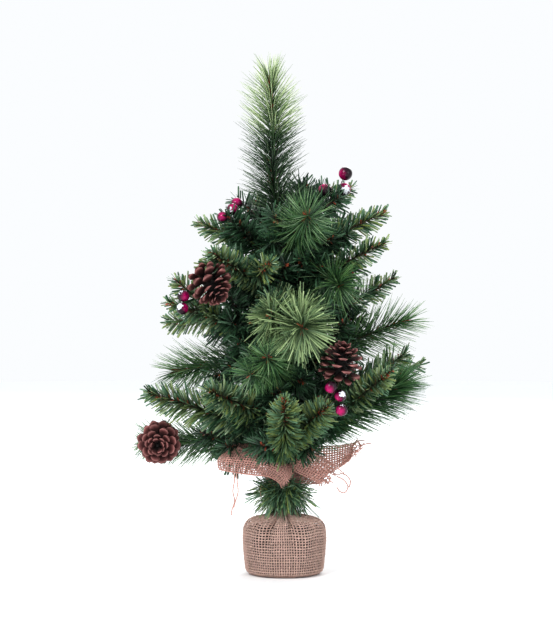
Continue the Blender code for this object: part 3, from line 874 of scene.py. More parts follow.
def brush(coursePoints, kind, seed, name, changes=None):
    host = courseHost(coursePoints, "brush host")
    values = {**needleKinds[kind], **(changes or {}), "Needle": needleShapes[kind], "Seed": seed,
              "Finish": finishes[kindSlots[kind]]}
    made = runTree(host, brushTree, values, name)
    removeAll([host])
    return made


def fillerTwigs(body, mainPoints, seed):
    dice = random.Random(seed)
    line = smoothCourse(mainPoints)
    made = []
    for number in range(fillerCounts.get(body, filler["count"])):
        share = dice.uniform(filler["from"], filler["to"])
        spot = int(share * (len(line) - 2))
        ahead = (line[spot + 1] - line[spot]).normalized()
        aside = ahead.cross(Vector((0, 0, 1))).normalized()
        side = 1 if number % 2 else -1
        turn = math.radians(dice.uniform(0.55, 1.0) * filler["turn"]) * side
        way = Matrix.Rotation(turn, 3, aside.cross(ahead)) @ ahead
        way = Matrix.Rotation(math.radians(dice.uniform(-40, 34)), 3, ahead) @ way
        length = dice.uniform(filler["shortest"], filler["longest"]) * (1.1 - 0.5 * share)
        bend = Vector((0, 0, 0.10 * length))
        made.append([line[spot] + way * (length * t) + bend * t * t for t in (0, 0.35, 0.7, 1.0)])
    return made


def dressBranch(body, seed):
    mainPoints, twigs, _ = courses[body]
    mainSlot = slotOf[body + "_needles"]
    mainKind = "leader" if body == "leader" else mainSlot.replace("_needles", "")
    twigKind = "long" if body in longTwigs else "short"
    byKind = {mainKind: [trimmed(smoothCourse(mainPoints), needleStart)]}
    for points in twigs:
        byKind.setdefault(twigKind, []).append(trimmed(smoothCourse(points), twigStart))
    fillers[body] = fillerTwigs(body, mainPoints, seed + 5)
    for points in fillers[body]:
        byKind.setdefault("inner", []).append(trimmed(smoothCourse(points), twigStart))
    if body in sideTwigs:
        kind, points = sideTwigs[body]
        points = [Vector(point) for point in points]
        fillers[body].append(points)
        byKind.setdefault("side_" + kind, []).append(trimmed(smoothCourse(points), twigStart))
    for number, (kind, lines) in enumerate(byKind.items()):
        name = f"{body}_{kind}_strips"
        changes = bodyLooks.get(body) if number == 0 else sideLooks.get(kind)
        kind = kind.removeprefix("side_")
        piece = brush(lines, kind, seed + number, name, changes)
        layPalette(piece)
        if number == 0:
            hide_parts(body + "_needles")
        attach(piece, body)
        pieces.append(piece)


pieces = []
fillers = {}
for number, body in enumerate(bodies):
    dressBranch(body, 100 + 10 * number)
print("needles ready:", sum(len(piece.data.polygons) for piece in pieces), "faces")


# twisted wires

wire = {"mainStrand": 0.00068, "twigStrand": 0.00052, "stemStrand": 0.00034, "pitch": 0.0052, "step": 0.0010,
        "sides": 5}


def makeTwistTree():
    # two strands twisted round each other along every spline
    tree, start, end = newTree("twisted wire", (("Finish", "Material"), ("Strand Radius", "Float"),
                                               ("Pitch", "Float"), ("Step", "Float"), ("Sides", "Int")))
    dotted = resampled(tree, start["Geometry"], start["Step"])
    spline = tree.nodes.new("GeometryNodeSplineParameter").outputs
    tangent = tree.nodes.new("GeometryNodeInputTangent").outputs[0]
    normal = tree.nodes.new("GeometryNodeInputNormal").outputs[0]
    sockets = {"Resolution": start["Sides"], "Radius": start["Strand Radius"]}
    profile = addNode(tree, "GeometryNodeCurvePrimitiveCircle", sockets).outputs[0]
    both = tree.nodes.new("GeometryNodeJoinGeometry")
    turn = times(tree, maths(tree, "DIVIDE", spline["Length"], start["Pitch"]), math.tau)
    for half in (0.0, math.pi):
        sockets = {"Vector": normal, "Axis": tangent, "Angle": plus(tree, turn, half)}
        aside = addNode(tree, "ShaderNodeVectorRotate", sockets, rotation_type="AXIS_ANGLE").outputs[0]
        strand = moved(tree, dotted, scaled(tree, aside, start["Strand Radius"]))
        sockets = {"Curve": strand, "Profile Curve": profile, "Fill Caps": True}
        tree.links.new(addNode(tree, "GeometryNodeCurveToMesh", sockets).outputs[0], both.inputs[0])
    finishTree(tree, end, both.outputs[0], start["Finish"])
    return tree


twistTree = makeTwistTree()


def twist(coursePoints, strand, name, pitch=None, step=None, finish="branch_wire"):
    # a thinner wire is twisted more tightly unless a pitch is given
    host = courseHost(coursePoints, "twist host")
    values = {"Finish": finishes[finish], "Strand Radius": strand, "Step": step or wire["step"],
              "Pitch": pitch or wire["pitch"] * strand / wire["mainStrand"], "Sides": wire["sides"]}
    made = runTree(host, twistTree, values, name)
    removeAll([host])
    return made


def berryCentres(nodeName):
    # each berry's centre is one radius below its skin, so the skin's points agree on it
    radius = berryLooks[nodeName]["radius"]
    work = mergedCopy(nodeName)
    work.normal_update()
    guesses = [vert.co - vert.normal * radius for vert in work.verts]
    work.free()
    groups, count = groupedPoints(guesses, berrySpan)
    centres = []
    for k in range(count):
        members = [g for g, number in zip(guesses, groups) if number == k]
        if len(members) >= fewestGuesses:
            centres.append(sum(members, Vector()) / len(members))
    return sorted(centres, key=lambda centre: -centre.z)


# the berries of a pick from the top one down: where the lit side faces, where the snow lies, how much;
# the lit side's magenta is painted light and the dark maroon opposite painted shade
berryLooks = {
    "berries_right_top": {"radius": 0.0080, "berries": (
        ((-0.8, -0.4, -0.1), (0.2, 0.3, -1.0), 0.0),
        ((0.3, -0.2, 0.4), (0.25, -0.9, -0.05), 0.62),
        ((-0.5, -0.3, 0.8), (0.0, 0.6, 0.5), 0.0))},
    "berries_left_top": {"radius": 0.0068, "berries": (
        ((0.0, -0.9, 0.8), (0.5, 0.5, 0.5), 0.0),
        ((0.2, -0.9, 0.5), (-0.35, -0.9, -0.2), 0.50),
        ((-0.2, -0.9, 0.4), (0.3, 0.7, 0.4), 0.0))},
    "berries_left_mid": {"radius": 0.0068, "berries": (
        ((0.6, -0.8, -0.1), (-0.45, -0.5, 0.75), 0.50),
        ((0.8, -0.4, 0.3), (-0.5, -0.75, 0.45), 0.62))},
    "berries_right_lower": {"radius": 0.0068, "berries": (
        ((-0.2, -0.3, -0.2), (0.9, -0.2, 0.3), 0.25),
        ((-0.5, -0.4, -0.4), (0.35, -0.9, 0.3), 0.55),
        ((-0.3, -0.7, -0.2), (0.1, -0.5, 0.7), 0.40))},
}
berry = {"sides": 40, "rings": 26, "dimple": 0.06, "snowThickness": 0.00045, "shade": 0.17,
         "magentaRise": 0.68, "stemDepth": 0.82}
berrySpan = 0.0012           # guesses of one berry's centre lie closer than this
fewestGuesses = 12


def makeBerry(centre, radius, paintedLightSide, snowSide, snowShare, stemSide, number):
    # a lacquered bead, magenta on its lit side and dark maroon on its shaded side as painted light and shade:
    # a dimple where the stem enters, a small blossom end opposite, a crust of snow
    upward = Vector(stemSide).normalized()
    facing = Vector((0, 0, 1)).rotation_difference(upward).to_matrix()
    paintedLightWay, snowAt = Vector(paintedLightSide).normalized(), Vector(snowSide).normalized()
    work = bmesh.new()
    tone = work.verts.layers.float.new("tone")
    snow = work.verts.layers.float.new("snow")
    loops = []
    for ring in range(berry["rings"] + 1):
        tilt = math.pi * ring / berry["rings"]
        inStem = max(0.0, 1 - tilt / 0.42)
        inEnd = max(0.0, 1 - (math.pi - tilt) / 0.22)
        reach = radius * (1 - berry["dimple"] * inStem ** 2 * 2.2 + 0.05 * inEnd ** 2)
        count = 1 if ring in (0, berry["rings"]) else berry["sides"]
        loop = []
        for k in range(count):
            turn = math.tau * k / berry["sides"]
            way = facing @ Vector((math.sin(tilt) * math.cos(turn), math.sin(tilt) * math.sin(turn),
                                   math.cos(tilt)))
            spot = way * 2.3 + Vector((number * 3.7, 1.3, 0.4))
            ragged = 0.22 * noise.noise(spot * 1.6) + 0.10 * noise.noise(spot * 5)
            patch = way.dot(snowAt) - (1.36 - 0.9 * snowShare) + ragged
            cover = 0.0 if snowShare == 0 else min(1.0, max(0.0, patch / 0.18 + 0.5))
            crust = cover * berry["snowThickness"] * (0.7 + 0.5 * noise.noise(spot * 9))
            vert = work.verts.new(Vector(centre) + way * (reach + crust))
            # the tone rises towards the lit side: painted light in magenta, painted shade in dark maroon
            lit = berry["shade"] + berry["magentaRise"] * way.dot(paintedLightWay)
            vert[tone] = min(1.0, max(0.0, lit + 0.12 * noise.noise(spot)))
            vert[snow] = cover
            loop.append(vert)
        loops.append(loop)
    for upper, lower in zip(loops, loops[1:]):
        for k in range(berry["sides"]):
            j = (k + 1) % berry["sides"]
            corners = (upper[k % len(upper)], lower[k % len(lower)], lower[j % len(lower)],
                       upper[j % len(upper)])
            work.faces.new(list(dict.fromkeys(corners)))
    made = meshObject(work, "berry")
    made.data.shade_smooth()
    made.data.materials.append(finishes["berry_gloss"])
    return made


def makeBerryPick(nodeName, body, start):
    # returns the stems' courses, which are made with the branch's wires
    look = berryLooks[nodeName]
    parts, stems = [], []
    for number, (centre, row) in enumerate(zip(berryCentres(nodeName), look["berries"])):
        inward = (start - centre).normalized()
        parts.append(makeBerry(centre, look["radius"], *row, inward, number + len(nodeName)))
        skin = centre + inward * look["radius"] * berry["stemDepth"]
        middle = start.lerp(skin, 0.5) + Vector((0.0012, 0.0, -0.0015))
        stems.append(smoothCourse([start, middle, skin]))
    pick = joined(parts, nodeName.replace("berries", "berry_pick"))
    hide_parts(nodeName)
    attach(pick, body)
    return stems


def wireBranch(body):
    mainPoints, twigs, stubs = courses[body]
    strands = [twist([smoothCourse(mainPoints)], wire["mainStrand"], body + "_wires")]
    thin = [smoothCourse(points) for points in twigs]
    thin += [smoothCourse(points) for points, held in stubs if held.startswith("cone_")]
    thin += [smoothCourse(points) for points in fillers[body]]
    if thin:
        strands.append(twist(thin, wire["twigStrand"], body + "_twigs"))
    for points, held in stubs:
        if held.startswith("berries_"):
            stems = makeBerryPick(held, body, points[0])
            strands.append(twist(stems, wire["stemStrand"], body + "_stems"))
    made = joined(strands, body + "_twisted_wire")
    made.data.shade_smooth()
    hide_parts(body + "_wire")
    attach(made, body)


for body in bodies:
    wireBranch(body)
print("wires and berries ready")


# pine cones

goldenAngle = math.radians(137.508)
cone = {"Count": 50, "Cone Length": 0.047, "Core Radius": 0.0064, "Scale Length": 0.0200, "Base Lean": 108.0,
        "Tip Lean": 20.0}


def makeConeScale():
    # one woody scale of unit length along Z, hollowed on its inner side, with a thick blunt end
    work = bmesh.new()
    along = work.verts.layers.float.new("along")
    stations = ((0.0, 0.12, 0.07), (0.35, 0.18, 0.045), (0.60, 0.28, 0.045), (0.78, 0.37, 0.07),
                (0.91, 0.36, 0.12), (1.0, 0.24, 0.11))
    outline = ((-1.0, 0.0), (-0.55, 0.55), (0.0, 0.75), (0.55, 0.55), (1.0, 0.0), (0.5, -0.4), (0.0, -0.5),
               (-0.5, -0.4))
    loops = []
    for height, half, thick in stations:
        loop = []
        for x, y in outline:
            arch = -0.30 * half * (x * x - 0.4)          # the edges curl towards the cone's tip
            inward = thick * y - arch * 0.6 - 0.16 * height * height
            vert = work.verts.new((half * x, inward, height - 0.10 * x * x * height))
            vert[along] = min(1.0, height + 0.16 * abs(x) ** 3 * height) if y > -0.45 else height * 0.8
            loop.append(vert)
        loops.append(loop)
    for lower, upper in zip(loops, loops[1:]):
        for k in range(len(outline)):
            j = (k + 1) % len(outline)
            work.faces.new((lower[k], upper[k], upper[j], lower[j]))
    work.faces.new(loops[0])
    work.faces.new(loops[-1][::-1])
    bmesh.ops.recalc_face_normals(work, faces=work.faces)
    made = meshObject(work, "cone scale")
    made.data.shade_smooth()
    return made


def makeConeTree():
    # scales set round a core by the golden angle, open at the base and closing towards the tip
    tree, start, end = newTree("cone", (("Scale", "Object"), ("Finish", "Material"), ("Seed", "Int"),
                                       ("Count", "Int"), ("Cone Length", "Float"), ("Core Radius", "Float"),
                                       ("Scale Length", "Float"), ("Base Lean", "Float"),
                                       ("Tip Lean", "Float")))
    index = tree.nodes.new("GeometryNodeInputIndex").outputs[0]
    seed = start["Seed"]
    share = maths(tree, "DIVIDE", plus(tree, index, 0.5), start["Count"])
    turn = times(tree, index, goldenAngle)
    turn = plus(tree, turn, randomValue(tree, -0.10, 0.10, seed, 1))
    cosine = maths(tree, "COSINE", turn)
    sine = maths(tree, "SINE", turn)
    outward = vector(tree, cosine, sine)
    core = times(tree, start["Core Radius"], mapped(tree, share, 0.2, 1.0, 1.0, 0.30, False))
    height = times(tree, start["Cone Length"], mapped(tree, share, 0.0, 1.0, -0.36, 0.30, False))
    place = added(tree, scaled(tree, outward, core), vector(tree, z=height))
    sockets = {"Count": start["Count"], "Position": place}
    dots = addNode(tree, "GeometryNodePoints", sockets).outputs[0]
    lean = mapped(tree, share, 0.0, 1.0, start["Base Lean"], start["Tip Lean"], False)
    lean = maths(tree, "RADIANS", plus(tree, lean, randomValue(tree, -5.0, 5.0, seed, 2)))
    way = scaled(tree, outward, maths(tree, "SINE", lean))
    way = added(tree, way, vector(tree, z=maths(tree, "COSINE", lean)))
    facing = facingAlong(tree, way, vector(tree, times(tree, sine, -1.0), cosine))
    full = mapped(tree, share, 0.0, 0.28, 0.72, 1.0)
    full = times(tree, full, mapped(tree, share, 0.45, 1.0, 1.0, 0.52))
    long = times(tree, full, randomValue(tree, 0.93, 1.05, seed, 3))
    long = times(tree, start["Scale Length"], long)
    wide = times(tree, long, mapped(tree, share, 0.0, 1.0, 0.80, 0.86, False))
    dots = storeValue(tree, dots, "tone", randomValue(tree, 0.0, 1.0, seed, 4))
    scales = copies(tree, dots, start["Scale"], facing, vector(tree, wide, long, long))
    finishTree(tree, end, scales, start["Finish"])
    return tree


def turnedMesh(profile, sides, name):
    # a closed turned solid about Z from a profile that starts and ends on the axis
    work = bmesh.new()
    loops = []
    for radius, height in profile:
        count = 1 if radius < 1e-7 else sides
        turns = [math.tau * k / sides for k in range(count)]
        loops.append([work.verts.new((radius * math.cos(turn), radius * math.sin(turn), height))
                      for turn in turns])
    for lower, upper in zip(loops, loops[1:]):
        for k in range(sides):
            j = (k + 1) % sides
            corners = (lower[k % len(lower)], lower[j % len(lower)], upper[j % len(upper)],
                       upper[k % len(upper)])
            work.faces.new(list(dict.fromkeys(corners)))
    bmesh.ops.recalc_face_normals(work, faces=work.faces)
    made = meshObject(work, name)
    made.data.shade_smooth()
    return made


def makeCone(nodeName, body, stub, seed):
    host = turnedMesh([(0, -0.001), (0.001, 0.0), (0, 0.001)], 4, "cone host")
    values = {**cone, "Scale": coneScale, "Finish": finishes["pine_cone"], "Seed": seed}
    scales = runTree(host, coneTree, values, "scales")
    half, core = cone["Cone Length"] / 2, cone["Core Radius"]
    profile = ((0, -half * 0.88), (core * 0.7, -half * 0.86), (core * 1.25, -half * 0.6), (core, 0.0),
               (core * 0.4, half * 0.62), (0, half * 0.7))
    spindle = turnedMesh(profile, 16, "core")
    spindle.data.materials.append(finishes["pine_cone"])
    removeAll([host])
    made = joined([scales, spindle], nodeName.replace("cone_", "open_cone_"))
    low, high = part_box(nodeName)
    axis = (stub[-1] - stub[-2]).normalized()
    # the node's middle lies on the wire's own line
    middle = stub[-1] + axis * max(0.0, ((low + high) / 2 - stub[-1]).dot(axis))
    turn = Vector((0, 0, 1)).rotation_difference(axis).to_matrix().to_4x4()
    made.data.transform(Matrix.Translation(middle) @ turn @ Matrix.Rotation(seed * 1.3, 4, "Z"))
    layPalette(made)
    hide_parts(nodeName)
    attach(made, body)


coneScale = makeConeScale()
coneTree = makeConeTree()
for body in bodies:
    for points, held in courses[body][2]:
        if held.startswith("cone_"):
            makeCone(held, body, points, len(held))
print("cones ready")


# woven burlap

yarn = {"pitch": 0.0031, "width": 0.00082, "flat": 0.52, "rise": 0.00044, "smooth": 2}


def makeWeaveTree():
    # turns the edges of a cloth grid into yarns that pass over and under each other
    tree, start, end = newTree("weave", (("Finish", "Material"), ("Yarn Radius", "Float"),
                                        ("Flatness", "Float"), ("Rise", "Float"), ("Smoothness", "Int")))
    both = tree.nodes.new("GeometryNodeJoinGeometry")
    sockets = {"Resolution": 4, "Radius": start["Yarn Radius"]}
    profile = addNode(tree, "GeometryNodeCurvePrimitiveCircle", sockets).outputs[0]
    sockets = {"Geometry": profile, "Scale": vector(tree, start["Flatness"], 1.0, 1.0)}
    profile = addNode(tree, "GeometryNodeTransform", sockets).outputs[0]
    for family, side in (("warp", 1.0), ("weft", -1.0)):
        sockets = {"Mesh": start["Geometry"], "Selection": readValue(tree, "is_" + family, "BOOLEAN")}
        lines = addNode(tree, "GeometryNodeMeshToCurve", sockets).outputs[0]
        over = times(tree, times(tree, readValue(tree, "parity"), side), start["Rise"])
        facing = readValue(tree, "cloth_normal", "FLOAT_VECTOR")
        lines = moved(tree, lines, scaled(tree, facing, over))
        lines = storeValue(tree, lines, "tone", readValue(tree, family + "_tone"))
        lines = addNode(tree, "GeometryNodeCurveSplineType", {"Curve": lines},
                        spline_type="CATMULL_ROM").outputs[0]
        sockets = {"Geometry": lines, "Resolution": start["Smoothness"]}
        lines = addNode(tree, "GeometryNodeSetSplineResolution", sockets).outputs[0]
        sockets = {"Curve": lines, "Radius": readValue(tree, family + "_width")}
        lines = addNode(tree, "GeometryNodeSetCurveRadius", sockets).outputs[0]
        sockets = {"Curve": lines, "Normal": facing}
        lines = addNode(tree, "GeometryNodeSetCurveNormal", sockets, mode="FREE").outputs[0]
        sockets = {"Curve": lines, "Profile Curve": profile, "Fill Caps": True}
        tubes = addNode(tree, "GeometryNodeCurveToMesh", sockets)
        for socket in tubes.inputs:
            if socket.name == "Scale":
                tree.links.new(readValue(tree, family + "_width"), socket)
        tree.links.new(tubes.outputs[0], both.inputs[0])
    finishTree(tree, end, both.outputs[0], start["Finish"])
    return tree


weaveTree = makeWeaveTree()


def weave(grid, closed, name, finish, seed, frayRows=0, frayLength=0.0, keep=None, dye=0.5):
    # grid[row][column] are the crossings; warps run from row to row, wefts from column to column
    dice = random.Random(seed)
    rows, columns = len(grid), len(grid[0])
    # the yarns' tones spread at random about a mean tone, which for the bow is painted shade and light
    warpTones = [min(1, max(0, dice.gauss(dye, 0.07))) for _ in range(columns)]
    weftTones = [min(1, max(0, dice.gauss(dye, 0.07))) for _ in range(rows)]
    warpWidths = [dice.uniform(0.92, 1.08) for _ in range(columns)]
    weftWidths = [dice.uniform(0.92, 1.08) for _ in range(rows)]
    mesh = bpy.data.meshes.new(name)
    points, values = [], {key: [] for key in ("parity", "warp_tone", "weft_tone", "warp_width", "weft_width")}
    normals = []
    edges, isWarp, isWeft = [], [], []
    for i in range(rows):
        for j in range(columns):
            here = grid[i][j]
            before, after = grid[max(i - 1, 0)][j], grid[min(i + 1, rows - 1)][j]
            left = grid[i][(j - 1) % columns] if closed or j > 0 else here
            right = grid[i][(j + 1) % columns] if closed or j < columns - 1 else here
            normal = (right - left).cross(after - before)
            normals.append(normal.normalized() if normal.length > 1e-12 else Vector((0, 0, 1)))
            crowd = min(1.0, (right - left).length / 2 / yarn["pitch"] * 1.25) if closed else 1.0
            fray = max(0, i - (rows - 1 - frayRows))
            wander = Vector([dice.gauss(0, 1) for _ in range(3)]) * (frayLength * 0.10 * fray)
            points.append(here + wander + Vector([dice.gauss(0, 0.00013) for _ in range(3)]))
            values["parity"].append(1.0 if (i + j) % 2 else -1.0)
            values["warp_tone"].append(min(1, max(0, warpTones[j] + dice.gauss(0, 0.10))))
            values["weft_tone"].append(min(1, max(0, weftTones[i] + dice.gauss(0, 0.10))))
            slub = dice.uniform(0.92, 1.10)
            values["warp_width"].append(warpWidths[j] * crowd * slub * (0.75 if fray else 1.0))
            values["weft_width"].append(weftWidths[i] * max(0.7, crowd) * slub)
            inside = keep is None or keep(i, j)
            if i + 1 < rows and inside and (keep is None or keep(i + 1, j)):
                edges.append((i * columns + j, (i + 1) * columns + j))
                isWarp.append(True)
                isWeft.append(False)
            wraps = closed or j + 1 < columns
            if wraps and not fray and inside and (keep is None or keep(i, j + 1)):
                edges.append((i * columns + j, i * columns + (j + 1) % columns))
                isWarp.append(False)
                isWeft.append(True)
    mesh.from_pydata([tuple(p) for p in points], edges, [])
    for key, numbers in values.items():
        mesh.attributes.new(key, "FLOAT", "POINT").data.foreach_set("value", numbers)
    mesh.attributes.new("cloth_normal", "FLOAT_VECTOR", "POINT").data.foreach_set(
        "vector", np.array([tuple(n) for n in normals], np.float32).ravel())
    mesh.attributes.new("is_warp", "BOOLEAN", "EDGE").data.foreach_set("value", isWarp)
    mesh.attributes.new("is_weft", "BOOLEAN", "EDGE").data.foreach_set("value", isWeft)
    host = bpy.data.objects.new(name + " grid", mesh)
    bpy.context.collection.objects.link(host)
    looks = {"Finish": finishes[finish], "Yarn Radius": yarn["width"], "Flatness": yarn["flat"],
             "Rise": yarn["rise"], "Smoothness": yarn["smooth"]}
    cloth = runTree(host, weaveTree, looks, name)
    removeAll([host])
    for label in list(cloth.data.attributes.keys()):
        if label in values or label in ("cloth_normal", "is_warp", "is_weft"):
            if label in cloth.data.attributes and label != "tone":
                cloth.data.attributes.remove(cloth.data.attributes[label])
    cloth.data.shade_smooth()
    return cloth


# sack

sackLow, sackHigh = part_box("burlap_sack")
tieLow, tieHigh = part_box("sack_tie")
sack = {
    "radius": (sackHigh.x - sackLow.x) / 2 - 0.0009,
    "neckHeight": (tieLow.z + tieHigh.z) / 2 - 0.004,
    "ruffTop": sackHigh.z,
    "neckRadius": 0.0078,
    "pleats": 11,
    "pleatDepth": 0.0064,
    "mainPleatTurn": math.radians(-93),
    "ridge": 0.0056,
    "swell": 0.0038,
    "groove": 0.0070,
    "sag": 0.0011,
    "hemWave": 0.0009,
    "frontLean": 0.10,
    "yarnDrift": 0.09,
    "driftReach": 0.7,
    "bottomHeight": 0.0015,
    "bottomSize": 0.086,
}
# radius as a share of the sack's radius, height as a share of the neck's height
sackOutline = ((0.865, 0.030), (0.93, 0.06), (0.955, 0.16), (0.98, 0.32), (1.0, 0.48), (1.0, 0.60),
               (0.98, 0.71), (0.92, 0.795), (0.80, 0.85), (0.60, 0.885), (0.38, 0.925), (0.22, 1.0))


def evenPoints(points, pitch):
    # points at even steps along a rounded course through the given ones
    fine = smoothCourse([Vector(p) for p in points])
    total = courseLength(fine)
    count = max(2, round(total / pitch))
    spread, run, number = [fine[0]], 0.0, 1
    for a, b in zip(fine, fine[1:]):
        step = (b - a).length
        while number <= count and run + step >= total * number / count - 1e-9:
            spread.append(a.lerp(b, (total * number / count - run) / step))
            number += 1
        run += step
    return spread


def sackPoint(turn, radius, height):
    # folds deepen towards the neck, one broad pleat falls down the front
    share = height / sack["neckHeight"]
    fold = max(0.0, (share - 0.45) / 0.55)
    gather = min(1.0, max(0.0, (share - 0.68) / 0.20))
    waves = math.sin(turn * sack["pleats"] + 1.2 * math.sin(turn * 3)) * sack["pleatDepth"] * gather
    waves *= min(1.0, radius / (sack["radius"] * 0.5))
    soft = sack["sag"] * math.sin(turn * 5 + 0.8) * (0.4 + share) * (1 - 0.6 * fold)
    offFront = (turn - sack["mainPleatTurn"] + math.pi) % math.tau - math.pi
    reach = max(0.0, (share - 0.16) / 0.84)
    offFront += sack["frontLean"] * (1 - reach)
    half = 0.150 + 0.13 * (1 - reach)
    ridge = sack["ridge"] * min(1.0, reach * 1.4) * math.exp(-(offFront / half) ** 6)
    swell = sack["swell"] * min(1.0, reach * 2) * sum(
        math.exp(-((offFront - side * half * 2.7) / half) ** 2) for side in (-1, 1))
    depth = 0.0008 * min(1.0, reach * 1.6) + sack["groove"] * min(1.0, max(0.0, (share - 0.76) / 0.08))
    grooves = depth * sum(
        math.exp(-((offFront - side * half * 1.4) / (half * 0.34)) ** 2) for side in (-0.95, 1))
    squarish = 0.012 * math.cos(4 * turn) * sack["radius"] * (1 - fold)
    r = radius + min(0.0, waves) + soft * 0.5 + ridge + swell - grooves - abs(squarish) * 0.5 - 0.0004
    hem = sack["hemWave"] * math.sin(turn * 7) * (1 - fold) * share
    return Vector((r * math.cos(turn), r * math.sin(turn), height + hem))


def makeSack():
    outline = [Vector((sack["radius"] * r, 0, sack["neckHeight"] * z)) for r, z in sackOutline]
    neck, top = sack["neckRadius"], sack["ruffTop"]
    ruff = [Vector((neck, 0, sack["neckHeight"] + 0.004)), Vector((neck * 1.25, 0, top - 0.0045)),
            Vector((neck * 1.75, 0, top - 0.0012))]
    column = evenPoints(outline + ruff, yarn["pitch"])
    around = round(math.tau * sack["radius"] / yarn["pitch"])
    around += around % 2
    grid = []
    for place in column:
        ring = []
        for k in range(around):
            turn = math.tau * k / around
            drift = 0.0
            offFront = (turn - sack["mainPleatTurn"] + math.pi) % math.tau - math.pi
            reach = max(0.0, place.z / sack["neckHeight"] - 0.30) / 0.70
            if abs(offFront) < sack["driftReach"]:       # the yarns lean in towards the front pleat
                drift = -sack["yarnDrift"] * min(1.0, reach * 1.2)
                drift *= math.sin(offFront / sack["driftReach"] * math.pi)
            ring.append(sackPoint(turn + drift, place.x, place.z))
        grid.append(ring)
    side = weave(grid, True, "woven_sack", "sack_burlap", 11)
    height = courseLength(column)
    half = round(sack["radius"] * sackOutline[0][0] / yarn["pitch"])
    steps = [(k - half) * yarn["pitch"] for k in range(2 * half + 1)]
    flat = [[Vector((x, y, sack["bottomHeight"])) for x in steps] for y in steps]

    def onDisc(i, j):
        return math.hypot(i - half, j - half) * yarn["pitch"] < sack["radius"] * sackOutline[0][0] + 0.0006

    under = weave(flat, False, "woven_sack_bottom", "sack_burlap", 12, keep=onDisc)
    layPalette(side)
    layPalette(under)
    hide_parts("burlap_sack")
    for cloth, size, area in ((side, (math.tau * sack["radius"], height), None),
                              (under, (sack["bottomSize"], sack["bottomSize"]), math.pi * 0.0425 ** 2)):
        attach(cloth, "base")
    print("sack cloth", round(math.tau * sack["radius"] * 1000), "x", round(height * 1000), "mm")


makeSack()


# bow

# each strip is given by rows of points across its width, in millimetres, from one end to the other
bowStrips = {
    "left_loop": (
        ((-75, -27, 124), (-76, -32, 130), (-75, -36, 137), (-67, -24, 144), (-60, -14, 150)),
        ((-58, -29, 121), (-58, -34, 128), (-56, -38, 137), (-51, -26, 146), (-47, -14, 153)),
        ((-37, -30, 118), (-37, -35, 126), (-35, -39, 136), (-31, -26, 145), (-28, -13, 151)),
        ((-18, -30, 116), (-18, -36, 123), (-15, -39, 132), (-12, -26, 140), (-10, -14, 146)),
        ((-6, -31, 109), (-4, -37, 114), (0, -40, 123), (0, -30, 131), (-2, -19, 136)),
        ((-3, -29, 103), (0, -34, 106), (6, -37, 112), (9, -32, 119), (7, -22, 126))),
    "front_tail": (
        ((4, -20, 124), (7, -24, 130), (10, -24, 136), (13, -18, 142)),
        ((17, -25, 119), (21, -29, 126), (25, -29, 134), (28, -22, 142)),
        ((30, -29, 113), (35, -33, 120), (40, -32, 129), (43, -25, 137)),
        ((40, -31, 108), (46, -34, 113), (53, -33, 121), (57, -28, 129)),
        ((45, -31, 106), (51, -34, 109), (58, -34, 116), (64, -29, 123))),
    "back_tail": (
        ((6, 2, 118), (6, 5, 127), (6, 7, 136), (6, 8, 143)),
        ((28, -1, 116), (28, 3, 126), (27, 7, 137), (27, 9, 147)),
        ((52, -1, 118), (53, 4, 128), (54, 7, 138), (54, 9, 147)),
        ((70, 1, 127), (72, 5, 135), (73, 8, 142), (74, 10, 149)),
        ((84, 3, 139), (86, 6, 144), (88, 8, 149), (90, 10, 153))),
    "inner_fold": (
        ((4, -10, 108), (6, -15, 113), (8, -15, 120), (10, -10, 127)),
        ((20, -17, 107), (23, -21, 113), (25, -19, 119), (26, -12, 126)),
        ((36, -20, 106), (40, -23, 111), (43, -20, 116), (44, -13, 121)),
        ((48, -18, 107), (53, -19, 111), (56, -16, 115), (57, -11, 119))),
}
# mean tones of the bow's strips in order: inner fold darker, tails lighter, as painted shade and light
bow = {"frayRows": 3, "frayLength": 0.010, "threadRadius": 0.00046, "threadPitch": 0.004,
       "threadStep": 0.0012, "threadTone": 0.75, "dye": (0.52, 0.74, 0.88, 0.16)}
# the wrap under the knot gets a low mean tone as painted shade
wrap = {"rows": 9, "around": 44, "radius": 0.0165, "flare": 0.0150, "low": 0.1035, "height": 0.024,
        "flat": (0.150, 0.028), "dye": 0.26}
looseThreads = (
    ((-75, -27, 123.5), (-58, -29.5, 120.5), (-37, -30.5, 117.5), (-18, -30.5, 115.5), (-6, -31.5, 108.5),
     (-3, -29, 102.5)),
    ((-58, -31, 121), (-57, -33, 112), (-59, -34, 99), (-57, -33, 88), (-60, -32, 78), (-61, -31, 71)),
    ((-55, -31, 120), (-54, -34, 110), (-53, -35, 98), (-56, -34, 88), (-58, -33, 80)),
    ((60, -31, 116), (68, -32, 112), (73, -31, 104), (69, -31, 97), (63, -31, 99), (60, -31, 104)),
    ((63, -30, 120), (71, -30, 117), (76, -29, 110), (74, -29, 103)),
    ((86, 5, 146), (94, 3, 150), (101, 3, 151)),
    ((-25, -4, 103), (-28, -5, 97), (-27, -6, 91)),
)


def clothGrid(sections):
    # an even grid of crossings over a strip given by rows of points
    across = [evenPoints([Vector(p) / 1000 for p in section], yarn["pitch"]) for section in sections]
    width = max(courseLength(line) for line in across)
    count = round(width / yarn["pitch"])
    shared = []
    for section in sections:
        points = [Vector(p) / 1000 for p in section]
        total = courseLength(smoothCourse(points))
        shared.append(evenPoints(points, total / count)[:count + 1])
    count = min(len(line) for line in shared)
    lengthwise = [[line[j] for line in shared] for j in range(count)]
    middle = courseLength(smoothCourse(lengthwise[count // 2]))
    steps = round(middle / yarn["pitch"])
    columns = [evenPoints(line, courseLength(smoothCourse(line)) / steps) for line in lengthwise]
    rows = min(len(column) for column in columns)
    return [[column[i] for column in columns] for i in range(rows)], width, middle


